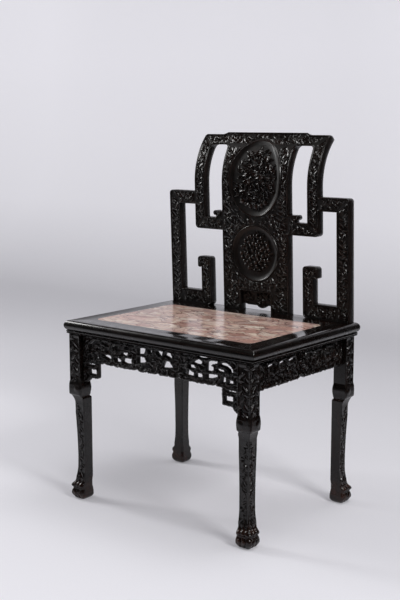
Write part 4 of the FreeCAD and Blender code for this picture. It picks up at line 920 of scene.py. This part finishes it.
def backRelief(name):
    broad, left = name in broadNodes, name.startswith("left_")
    paths = backPaths[name if broad else name.split("_", 1)[1]]
    paths = mirrored(paths) if left else paths
    frontAt = lambda u, v: backFront(v)
    floorAt = lambda flat: bowlDepth(flat, groundDepth)[0]
    inWood = edgeFrom([backOutlines[name]])

    def edgeAt(flat):       # carving keeps clear of the medallions' rims too
        clear = np.min([rimStart - reachInto(look, flat) for look in medallions.values()], axis=0)
        return np.minimum(inWood(flat), clear + 1.5)

    seed = sum(map(ord, name)) % 50
    parts = vines(paths, floorAt, frontAt, edgeAt, lift=0.85, Seed=seed)
    sheet, faces = sheetOver(backOutlines[name])
    for shape, apart, size, step in ((leaf, 13.0, 19.0, 0), (curl, 30.0, 17.0, 5)):
        parts.append(scattered(scatterTree, sheet, faces, floorAt, frontAt, edgeAt, lift=0.8 if broad else 0.6,
                               **{"Shape": shape, "Apart": apart, "Size": size, "Grain angle": 0.8 if left else -0.8,
                                  "Spread": 4.0, "Seed": seed + step}))
    return parts + (medallionRelief() if name == "splat" else [])


def makeBack():
    for name in backNodes:
        broad = name in broadNodes
        starts, ends = segmentsOf([outline for other, outline in backOutlines.items() if other != name])

        def joints(middles):
            return (toSegments(middles, starts, ends) < 0.25) | (middles[:, 1] < 480.3)

        plate = carvedPlate([backOutlines[name]], joints, lambda u, v: backFront(v), lambda u, v: backRear(v),
                            backDepth(groundDepth), grid=2.0 if broad else 2.6,
                            creases=(crestCrease,) if name == "crest_rail" else (),
                            guides=medallions.values() if broad else ())
        wood = uprightRosewood if name in uprightNodes else levelRosewood
        makePiece("carved_" + name, [plate] + backRelief(name), unflatBack, wood, name)
        print(name, len(plate[0]), "points")


makeBack()


# ---- the small board between the splat's feet

boardLook = {"thick": 11.0, "ground": 1.2, "sides": 50.4, "top": 532.9,
             "edge": [(0, 1.6), (0.5, 0.8), (1.2, 0.3), (2.2, 0.25), (3.2, 0.9), (4.2, 1.2)],
             "path": [(2, 512), (16, 518), (34, 512), (46, 520)],
             "vine": {"Leaf size": 16.0, "Curl size": 15.0, "Curl spacing": 16.0, "Swing": 2.0}}


def makeSmallBoard():
    look, name = boardLook, "splat_apron"
    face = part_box(name)[0].y * 1000
    outlines = faceOutlines(name, flatBack, lambda z: face)
    frontAt = lambda u, v: np.full(len(u), face)
    plate = carvedPlate(outlines, lambda m: (m[:, 1] > look["top"]) | (abs(m[:, 0]) > look["sides"]), frontAt,
                        lambda u, v: np.full(len(u), face + look["thick"]), lambda flat, d: fromTable(look["edge"], d),
                        rings=[place for place, _ in look["edge"][1:]])
    floorAt = lambda flat: np.full(len(flat), look["ground"])
    relief = vines(onBothSides([look["path"]]), floorAt, frontAt, edgeFrom(outlines), 2.2, 1.8, **look["vine"])
    makePiece("carved_splat_apron", [plate] + relief, unflatBack, levelRosewood, name)


makeSmallBoard()
print("back carved")


# ---- aprons and brackets, pierced and carved

apronLook = {"front": {"ground": 2.6, "apart": 8.0, "size": 13.0, "lift": 1.0},
             "side": {"ground": 4.2, "apart": 7.0, "size": 15.0, "lift": 1.55},
             "edge": [(0, 3.4), (0.4, 2.1), (1.0, 1.2), (2.0, 0.5), (3.2, 0.3)],
             "rings": (0.4, 1.0, 2.0, 3.2, 4.6, 6.5)}
apronPaths = {
    "front": [[(4, 408), (10, 392), (22, 388)], [(66, 388), (70, 410), (69, 436)], [(78, 384), (110, 383), (140, 384)],
              [(150, 388), (150, 412), (150, 436)], [(192, 392), (200, 402), (226, 402), (244, 396)],
              [(246, 384), (248, 410), (244, 434)]],
    "bracket": [[(250, 372), (249, 350), (246, 328)]],
    "side": [[(-190, 400), (-120, 396), (-60, 402), (0, 400), (60, 402), (120, 397), (170, 402)],
             [(-188, 384), (-130, 381), (-80, 382)], [(60, 382), (110, 381), (168, 383)]],
}
# where a board meets the seat frame, a leg or a bracket: heights and places across
apronJoints = {"seat": 445.8, "leg": 256.8, "bracket": (202, 375.6), "bracketTop": 375.3, "sideLegs": (-197.9, 174.6)}


def makeApron(nodeName, toFlat, fromFlat, face, thick, joints, paths, wood, seed, look):
    ground = look["ground"]
    # round bars beside the openings, then the sunk ground
    apronDepth = lambda flat, d: fromTable(apronLook["edge"] + [(4.6, 0.45 * ground), (6.5, ground)], d)
    outlines = faceOutlines(nodeName, toFlat, lambda z: face)
    frontAt = lambda u, v: np.full(len(u), face)
    plate = carvedPlate(outlines, joints, frontAt, lambda u, v: np.full(len(u), face + thick), apronDepth,
                        step=1.8, grid=2.2, rings=apronLook["rings"], rearRound=1.2)
    edgeAt = edgeFrom(outlines)
    floorAt = lambda flat: np.interp(edgeAt(flat), [2.5, 6.0], [0.5, ground])
    nearEdge = lambda flat: edgeAt(flat) + 2.2
    sheet, faces = sheetOver(max(outlines, key=lambda o: abs(area(o))))
    parts = [plate]
    for shape, apart, size, step in ((leaf, look["apart"], look["size"], 0),
                                     (broadLeaf, 1.7 * look["apart"], 1.2 * look["size"], 9), (curl, 19.0, 14.0, 3)):
        parts.append(scattered(scatterTree, sheet, faces, floorAt, frontAt, nearEdge, 0.6, look["lift"],
                               **{"Shape": shape, "Apart": apart, "Size": size, "Grain angle": 0.9, "Spread": 14.0,
                                  "Seed": seed + step, "Wood": wood}))
    parts += vines(paths, floorAt, frontAt, nearEdge, 0.8, look["lift"], Seed=seed, Swing=2.0)
    makePiece("carved_" + nodeName, parts, fromFlat, wood, nodeName)
    print(nodeName, "carved")


def makeAprons():
    low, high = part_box("front_apron")
    front, thick = low.y * 1000, (high.y - low.y) * 1000
    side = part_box("right_apron")[1].x * 1000
    at, paths = apronJoints, apronPaths
    inner, under = at["bracket"]
    makeApron("front_apron", flatBack, unflatBack, front, thick,
              lambda m: ((m[:, 1] > at["seat"]) | (abs(m[:, 0]) > at["leg"])
                         | ((abs(m[:, 0]) > inner) & (m[:, 1] < under))),
              onBothSides(paths["front"]), levelRosewood, 11, apronLook["front"])
    for name, sign in (("front_right_bracket", 1), ("front_left_bracket", -1)):
        makeApron(name, flatBack, unflatBack, front, thick,
                  lambda m: (m[:, 1] > at["bracketTop"]) | (abs(m[:, 0]) > at["leg"]),
                  [[(sign * x, z) for x, z in path] for path in paths["bracket"]],
                  levelRosewood, 17, apronLook["front"])
    rearEnd, frontEnd = at["sideLegs"]
    for name, sign, seed in (("right_apron", 1, 23), ("left_apron", -1, 31)):       # seen from outside
        makeApron(name, lambda c: (sign * c.y, c.z, -sign * c.x),
                  lambda p: np.stack([-sign * p[:, 2], sign * p[:, 0], p[:, 1]], 1), -side, thick,
                  lambda m: (m[:, 1] > at["seat"]) | (sign * m[:, 0] < rearEnd) | (sign * m[:, 0] > frontEnd),
                  [[(sign * y, z) for y, z in path] for path in paths["side"]], sideRosewood, seed, apronLook["side"])


makeAprons()


# ---- legs: a rounded square section follows the CAD leg level by level

legLook = {
    "outerFace": 295.0, "reach": 224.5,         # the outer faces, from the chair's middle and from the legs' middle
    "sink": 1.5, "bead": 3.2, "acrossPoints": 21, "lobeWidth": 12.5, "lobeDepth": 3.4, "proud": 1.5,
    # the rest goes by height
    "softFront": [(4, 0), (8, 1), (52, 1), (58, 0)],
    "softHeel": [(10, 0), (14, 1), (38, 1), (42, 0)],
    "carved": [(58, 0), (70, 1), (238, 1), (250, 0.6), (258, 0), (324, 0), (330, 1), (436, 1), (442, 0)],
    # the carver left the foot, the shaft and the roll a little full
    "full": [(3, 0), (12, 2.2), (24, 1.9), (29, 0.4), (34, 2.6), (42, 4.4), (50, 4.6), (56, 4.4), (64, 4.0),
             (82, 3.0), (110, 2.2), (235, 2.2), (262, 0), (282, 0), (284, 1.6), (290, 2.7), (301, 3.0),
             (312, 2.7), (318, 1.4), (321, 0)],
    "round": [(0, 5), (5, 6), (48, 6), (60, 2), (262, 2), (270, 1.6), (284, 2), (290, 4.5), (314, 4.5), (322, 1.6)],
    "lobes": [(2, 0.3), (8, 1), (25, 1), (28.5, 0.4), (32, 1), (44, 1), (56, 0)],
    "worn": [(20, 1.15), (60, 0.95), (70, 0.8)],
    "paths": [[(19, 432), (17, 400), (21, 365), (19, 330)], [(26, 246), (21, 205), (30, 160), (21, 112), (26, 62)]],
    "vine": {"Leaf size": 21.0, "Leaf spacing": 10.5, "Swing": 4.2, "Curl size": 17.0, "Curl spacing": 29.0},
    # shapes on the roll and the foot: places, shape, size, height and wear
    "spots": [([(27, 301)], berry, 22.0, 4.4, 0.8), ([(21, 291)], curl, 17.0, 5.0, 0.8),
              ([(21.5, 42)], berry, 14.0, 5.2, 1.3), ([(32, 41)], berry, 13.5, 5.4, 1.3),
              ([(11, 43)], berry, 12.0, 4.8, 1.3), ([(15, 17), (31, 18)], berry, 12.5, 4.4, 1.2)],
}
legPlaces = {"front_right_leg": (1, -1), "front_left_leg": (-1, -1), "rear_right_leg": (1, 1), "rear_left_leg": (-1, 1)}


def legProfile(nodeName):
    # depth of the outer and the inner face at each height, from slices of the CAD mesh
    mesh = nodes[nodeName].data
    mesh.calc_loop_triangles()
    points = np.zeros(len(mesh.vertices) * 3)
    mesh.vertices.foreach_get("co", points)
    points = points.reshape(-1, 3) * 1000
    triangles = np.array([t.vertices for t in mesh.loop_triangles])
    corners = points[triangles]
    levels = np.unique(np.concatenate([np.arange(0.05, 446, 1.6), np.clip(points[:, 2], 0.05, 445.9).round(2)]))
    levels = levels[np.concatenate([[True], np.diff(levels) > 0.3])]
    lows, highs = [], []
    for z in levels:
        found = []
        for i in range(3):
            a, b = corners[:, i], corners[:, (i + 1) % 3]
            crossing = (a[:, 2] - z) * (b[:, 2] - z) <= 0
            crossing &= abs(a[:, 2] - b[:, 2]) > 1e-9
            share = (z - a[crossing, 2]) / (b[crossing, 2] - a[crossing, 2])
            found.append(a[crossing, 0] + (b[crossing, 0] - a[crossing, 0]) * share)
        found = np.concatenate(found)
        lows.append(found.min())
        highs.append(found.max())
    return levels, np.array(lows), np.array(highs)


def makeLegs():
    look = legLook
    levels, inner, outer = legProfile("front_right_leg")
    outerFace, reach = look["outerFace"], look["reach"]
    middle = (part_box("front_right_leg")[0].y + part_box("rear_right_leg")[1].y) * 500

    def softened(depths, half, shares):
        # averaged over a few millimetres up and down
        around = np.linspace(-half, half, 2 * half + 1)
        eased = np.array([np.interp(z + around, levels, depths).mean() for z in levels])
        return depths + (eased - depths) * fromTable(shares, levels)

    near = softened(outerFace - outer, 4, look["softFront"])        # depths from the outer face
    far = softened(outerFace - inner, 7, look["softHeel"])
    nearAt = lambda z: np.interp(z, levels, near)
    farAt = lambda z: np.interp(z, levels, far)
    carvedAt = lambda z: fromTable(look["carved"], z)
    fullAt = lambda z: fromTable(look["full"], z)
    count = look["acrossPoints"]
    rings = []
    for z, n, f in zip(levels, near - fullAt(levels), far):
        r = fromTable(look["round"], z)
        side = np.linspace(n + r, f - r, count)
        edge = np.minimum(side - n, f - side)
        sunk = look["sink"] * carvedAt(z) * np.interp(edge, [1.7, look["bead"], look["bead"] + 1.2], [0, 0.1, 1])
        groove = abs(np.cos(np.pi * (side - (n + f) / 2 + look["lobeWidth"] / 2) / look["lobeWidth"])) ** 5
        sunk = sunk + fromTable(look["lobes"], z) * look["lobeDepth"] * groove
        arc = np.array([math.sin(math.radians(a)) for a in (22, 45, 68)])
        ring = []                                          # anticlockwise from above for the front right leg
        ring += [(n + d, t) for t, d in zip(side, sunk)][::-1]                       # outer side face
        ring += [(n + r * (1 - s), n + r * (1 - c)) for s, c in zip(arc[::-1], arc)][::-1]
        ring += [(t, n + d) for t, d in zip(side, sunk)]                             # outer front face
        ring += [(f - r * (1 - s), n + r * (1 - c)) for s, c in zip(arc, arc[::-1])]
        ring += [(f, t) for t in side]
        ring += [(f - r * (1 - c), f - r * (1 - s)) for s, c in zip(arc, arc[::-1])]
        ring += [(t, f) for t in side[::-1]]
        ring += [(n + r * (1 - s), f - r * (1 - c)) for s, c in zip(arc, arc[::-1])]
        rings.append(ring)
    rings = np.array(rings)
    total = rings.shape[1]
    body = np.array([(a, b, z) for ring, z in zip(rings, levels) for a, b in ring])
    faces = []
    for i in range(len(levels) - 1):
        for j in range(total):
            k = (j + 1) % total
            faces.append((i * total + j, i * total + k, (i + 1) * total + k, (i + 1) * total + j))
    faces.append(tuple(range(total))[::-1])
    faces.append(tuple(range((len(levels) - 1) * total, len(levels) * total)))
    edgeAt = lambda flat: np.minimum(flat[:, 0] - nearAt(flat[:, 1]), farAt(flat[:, 1]) - flat[:, 0]) + 1.0
    floorAt = lambda flat: look["sink"] * carvedAt(flat[:, 1])
    frontAt = lambda u, v: nearAt(v) - fullAt(v)
    relief = vines(look["paths"], floorAt, frontAt, edgeAt, look["proud"], 1.15, Seed=5, **look["vine"])
    flush = lambda flat: np.zeros(len(flat))
    clear = lambda flat: np.full(len(flat), 9.0)
    for spots, shape, size, high, worn in look["spots"]:
        points, polygons, carve = scattered(placeTree, spots, [], flush, lambda u, v: nearAt(v), clear,
                                            high, high / 3.2, **{"Shape": shape, "Size": size, "Turn": 0.4, "Seed": 9})
        relief.append((points, polygons, carve * worn))
    for name, (signX, signY) in legPlaces.items():
        flip = signX * signY > 0

        def place(points, signX=signX, signY=signY):       # points are (depth in X, depth in Y, height)
            x, y, z = points.T
            return np.stack([signX * (outerFace - x), middle + signY * (reach - y), z], 1)

        carve = fromTable(look["worn"], body[:, 2])
        parts = [(body, [f[::-1] for f in faces] if flip else faces, carve)]
        for points, polygons, carve in relief:
            onSide = np.stack([points[:, 2], points[:, 0], points[:, 1]], 1)
            onFront = np.stack([points[:, 0], points[:, 2], points[:, 1]], 1)
            turned = [f[::-1] for f in polygons]
            parts.append((onFront, turned if flip else polygons, carve))
            parts.append((onSide, polygons if flip else turned, carve))
        makePiece("carved_" + name, parts, place, uprightRosewood, name)
    print("legs carved")


makeLegs()


# ---- seat frame: the top face's outline is kept, and the mouldings run round it down to the underside

railLook = {"top": 480.0, "under": 446.0, "nosing": 13.0, "corner": 3.0,
            "ledge": 10.0, "ledgeTop": 468.0, "innerWall": 11.2,        # inside, where the marble lies
            "beads": [(5.4, 455.4), (5.4, 454.5), (6.6, 454.0), (7.6, 453.0), (7.9, 451.9), (7.3, 450.8), (5.6, 450.2),
                      (5.4, 449.8), (6.4, 449.2), (7.0, 448.1), (6.9, 447.0), (6.0, 446.2), (4.5, 446.0)]}


def railRows():
    # outward offset from the top face's edge and height, for outer edges, inner edges and joints
    look = railLook
    top, nosing, ledge, ledgeTop = look["top"], look["nosing"], look["ledge"], look["ledgeTop"]
    turns = [math.radians(angle) for angle in range(10, 151, 10)]
    nose = [(nosing * math.sin(turn), top - nosing + nosing * math.cos(turn)) for turn in turns]
    outer = [(-1.6, top), (0.0, top)] + nose + look["beads"]
    count = len(outer)
    inner = [(-1.6, top), (-0.7, top), (-0.2, 479.8), (0.0, 479.2)]
    inner += [(0.0, 479.2 - look["innerWall"] * i / 8) for i in range(1, 9)]
    inner += [(ledge * i / 4, ledgeTop) for i in range(1, 5)]
    left = count - len(inner)
    inner += [(ledge, ledgeTop - (ledgeTop - look["under"]) * i / (left - 1)) for i in range(1, left)]
    inner += [(ledge, look["under"])]
    joint = [(-0.3, top), (-0.12, 479.95)] + [(0.0, z) for _, z in outer[2:]]
    return np.array(outer), np.array(inner[:count]), np.array(joint)


def makeRail(name, wood):
    found = faceOutlines(name, lambda c: (c.x, c.y, c.z), lambda v: railLook["top"])
    outline = max(found, key=lambda o: abs(area(o)))
    outline = outline if area(outline) > 0 else outline[::-1]
    low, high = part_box("seat_left_rail")[0] * 1000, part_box("seat_right_rail")[1] * 1000
    front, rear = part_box("seat_front_rail")[0].y * 1000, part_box("seat_rear_rail")[1].y * 1000
    panelLow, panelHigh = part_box("marble_panel")[0] * 1000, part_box("marble_panel")[1] * 1000
    ends = np.roll(outline, -1, 0)
    middles = (outline + ends) / 2
    away = np.min([middles[:, 0] - low.x, high.x - middles[:, 0], middles[:, 1] - front, rear - middles[:, 1]], axis=0)
    inPanel = np.max([panelLow.x - middles[:, 0], middles[:, 0] - panelHigh.x, panelLow.y - middles[:, 1],
                      middles[:, 1] - panelHigh.y], axis=0)
    run = (ends - outline) / np.linalg.norm(ends - outline, axis=1)[:, None]
    lengthwise = np.minimum(abs(run[:, 0]), abs(run[:, 1])) < 1e-3
    kind = np.where((away < 14) & lengthwise, 0, np.where(inPanel < 0.6, 1, 2))        # outer, inner, joint
    outward = np.stack([run[:, 1], -run[:, 0]], 1)
    rows = railRows()
    # the nosing reaches the CAD frame's outer faces
    reach = np.array([min(outline[:, 0].min() - low.x, high.x - outline[:, 0].max()),
                      min(outline[:, 1].min() - front, rear - outline[:, 1].max())]) / railLook["nosing"]
    stations = []               # each is a kind, and a function that gives its (x, y) row by row
    for i in range(len(outline)):
        before, after = i - 1, i
        kinds = (kind[before], kind[after])
        a, b = outward[before], outward[after]
        if set(kinds) == {0, 2}:        # the frame's corner, slightly rounded, up to the mitre
            main, beyond = (a, run[before]) if kinds[0] == 0 else (b, -run[after])
            angles = [0, 15, 30, 45] if kinds[0] == 0 else [45, 30, 15, 0]
            stations += [(0, lambda k, i=i, main=main, beyond=beyond, t=math.radians(t): outline[i]
                          + (main + beyond) * (reach * rows[0][k][0] - railLook["corner"])
                          + railLook["corner"] * (main * math.cos(t) + beyond * math.sin(t))) for t in angles]
            continue
        det = a[0] * b[1] - a[1] * b[0]

        def spot(k, i=i, kinds=kinds, a=a, b=b, det=det):
            oa, ob = rows[kinds[0]][k][0], rows[kinds[1]][k][0]
            if abs(det) > 0.05:         # the point that lies at both edges' offsets
                return outline[i] + np.array([(oa * b[1] - ob * a[1]) / det, (a[0] * ob - b[0] * oa) / det])
            return outline[i] + (a * oa + b * ob) / 2 * (reach if 0 in kinds else 1)

        stations.append((min(kinds), spot))
    count = len(stations)
    points = [(*spot(k), rows[main][k][1]) for k in range(len(rows[0])) for main, spot in stations]
    faces = []
    for k in range(len(rows[0]) - 1):
        for i in range(count):
            j = (i + 1) % count
            faces.append((k * count + i, (k + 1) * count + i, (k + 1) * count + j, k * count + j))
    faces.append(tuple(range(count)))
    last = (len(rows[0]) - 1) * count
    faces.append(tuple(range(last, last + count))[::-1])
    carve = np.repeat(np.interp(np.arange(len(rows[0])), [0, 2, 5, 16, 19], [0.8, 0.8, 0.35, 0.35, 0.6]), count)
    makePiece("moulded_" + name, [(np.array(points), faces, carve)], lambda p: p, wood, name, 30.0)


def makeRails():
    for name, wood in (("seat_front_rail", levelPolish), ("seat_rear_rail", levelPolish),
                       ("seat_left_rail", sidePolish), ("seat_right_rail", sidePolish)):
        makeRail(name, wood)
    print("rails moulded")


makeRails()


# ---- floor, light and camera

stageLook = {
    "floor": "#c9c8cd", "backdrop": "#d3d2d7", "glowTone": "#e9e8ee", "unlit": "#1c1c1e",
    "wide": 9.0, "front": -6.0, "back": 3.2, "high": 5.0, "bend": 1.2,
    # metres along the paper and its brightness
    "glow": [(-1.4, 0.46), (-0.4, 0.22), (0.6, 0.14), (2.2, 0.12), (3.4, 0.40), (4.6, 0.50)],
    "brighter": (-1.6, -4.0, 0.22),         # from here leftward to there, and by how much
    "rightEnd": (0.75, 1.1), "nearEnd": (-0.9, -1.5),       # where the mirrored paper fades out
    "mirrored": 0.6,
}


def makeStage():
    look = stageLook
    profile = [(look["front"], 0.0), (look["back"] - look["bend"], 0.0)]
    for i in range(1, 13):
        angle = math.pi / 2 * i / 12
        profile.append((look["back"] - look["bend"] * (1 - math.sin(angle)), look["bend"] * (1 - math.cos(angle))))
    profile.append((look["back"], look["high"]))
    points = [(x, y, z) for x in (-look["wide"], look["wide"]) for y, z in profile]
    count = len(profile)
    faces = [(i, count + i, count + i + 1, i + 1) for i in range(count - 1)]
    mesh = bpy.data.meshes.new("studioFloor")
    mesh.from_pydata(points, [], faces)
    mesh.shade_smooth()
    floor = newObject("studioFloor", mesh)
    # matt background paper: it glows a little for the camera and in the polish, and lights nothing
    material, tree = newMaterial("mattePaperBackdrop")
    place = addNode(tree, "ShaderNodeTexCoord").outputs["Object"]
    speck = addNode(tree, "ShaderNodeTexNoise", None, {"Vector": place, "Scale": 300.0, "Detail": 3.0})
    tone = addNode(tree, "ShaderNodeMix", {"data_type": "RGBA"},
                   {0: speck.outputs["Fac"], 6: toLinear(look["floor"]), 7: toLinear(look["backdrop"])})
    parts = addNode(tree, "ShaderNodeSeparateXYZ", None, {0: place})
    along = addNode(tree, "ShaderNodeMath", {"operation": "ADD"}, {0: parts.outputs[1], 1: parts.outputs[2]})
    low, high = look["glow"][0][0], look["glow"][-1][0]
    share = addNode(tree, "ShaderNodeMapRange", None, {"Value": along, 1: low, 2: high})
    level = setRamp(addNode(tree, "ShaderNodeValToRGB", None, {"Fac": share}),
                    [((at - low) / (high - low), value) for at, value in look["glow"]])
    # the polish mirrors the paper only behind and to the left of the chair, where the room is bright
    brightFrom, brightTo, more = look["brighter"]
    leftward = addNode(tree, "ShaderNodeMapRange", None,
                       {"Value": parts, 1: brightFrom, 2: brightTo, 3: 0.0, 4: more})
    level = addNode(tree, "ShaderNodeMath", {"operation": "ADD"}, {0: level, 1: leftward})
    rightward, nearward = [
        addNode(tree, "ShaderNodeMapRange", None, {"Value": parts.outputs[axis], 1: look[end][0], 2: look[end][1]})
        for axis, end in ((0, "rightEnd"), (1, "nearEnd"))]
    beyond = addNode(tree, "ShaderNodeMath", {"operation": "MAXIMUM"}, {0: rightward, 1: nearward})
    rays = addNode(tree, "ShaderNodeLightPath").outputs
    hidden = addNode(tree, "ShaderNodeMath", {"operation": "MULTIPLY"}, {0: rays["Is Glossy Ray"], 1: beyond})
    bright = addNode(tree, "ShaderNodeMath", {"operation": "SUBTRACT"}, {0: rays["Is Glossy Ray"], 1: hidden})
    dimmed = addNode(tree, "ShaderNodeMath", {"operation": "MULTIPLY"}, {0: bright, 1: look["mirrored"]})
    shown = addNode(tree, "ShaderNodeMath", {"operation": "MAXIMUM"}, {0: rays["Is Camera Ray"], 1: dimmed})
    glow = addNode(tree, "ShaderNodeMath", {"operation": "MULTIPLY"}, {0: shown, 1: level})
    seen = addNode(tree, "ShaderNodeMix", {"data_type": "RGBA"},
                   {0: hidden, 6: tone.outputs[2], 7: toLinear(look["unlit"])})
    shader = addNode(tree, "ShaderNodeBsdfPrincipled", None,
                     {"Base Color": seen.outputs[2], "Roughness": 0.85, "Specular IOR Level": 0.2,
                      "Emission Color": toLinear(look["glowTone"]), "Emission Strength": glow})
    addNode(tree, "ShaderNodeOutputMaterial", None, {"Surface": shader})
    mesh.materials.append(material)


roomLook = {"tone": "#e6e6ea", "light": 0.30, "mirrored": 0.03}
lampLook = {
    "key": {"place": (-2.6, -0.5, 2.0), "size": 0.9, "power": 35},
    "fill": {"place": (2.4, -0.6, 2.3), "size": 0.8, "power": 44},
    "top": {"place": (0.5, 0.5, 3.1), "size": 1.3, "power": 27},
    "strip": {"place": (-2.5, -0.75, 0.9), "size": 0.3, "tall": 1.3, "power": 3.5},
}


def makeLamps():
    for name, look in lampLook.items():
        light = bpy.data.lights.new(name + "Lamp", "AREA")
        light.shape = "RECTANGLE"
        light.size, light.size_y = look["size"], look.get("tall", look["size"])
        light.energy = look["power"]
        lamp = newObject(name + "Lamp", light)
        lamp.location = look["place"]
        lamp.rotation_euler = (Vector((0, 0, 0.45)) - lamp.location).to_track_quat("-Z", "Y").to_euler()
    world = bpy.data.worlds.new("paleRoom")
    world.use_nodes = True
    tree = world.node_tree
    tree.nodes.clear()
    rays = addNode(tree, "ShaderNodeLightPath").outputs
    level = addNode(tree, "ShaderNodeMapRange", None,
                    {"Value": rays["Is Glossy Ray"], 3: roomLook["light"], 4: roomLook["mirrored"]})
    sky = addNode(tree, "ShaderNodeBackground", None, {"Color": toLinear(roomLook["tone"]), "Strength": level})
    addNode(tree, "ShaderNodeOutputWorld", None, {"Surface": sky})
    scene.world = world


cameraLook = {"place": (1.74848, -2.19130, 0.99524), "aim": (-0.0283, -0.01165, 0.5507),
              "lens": 65.78, "shift": (-0.0044, -0.0113)}


def makeCamera():
    data = bpy.data.cameras.new("studioCamera")
    data.sensor_fit = "AUTO"
    data.sensor_width = 36
    data.lens = cameraLook["lens"]
    data.shift_x, data.shift_y = cameraLook["shift"]
    camera = newObject("studioCamera", data)
    camera.location = cameraLook["place"]
    camera.rotation_euler = (Vector(cameraLook["aim"]) - camera.location).to_track_quat("-Z", "Y").to_euler()
    scene.camera = camera


for template in (leaf, broadLeaf, curl, berry, blossom):
    bpy.data.objects.remove(template)
makeStage()
makeLamps()
makeCamera()
scene.view_settings.view_transform = "Standard"
print("floor, lamps and camera set")
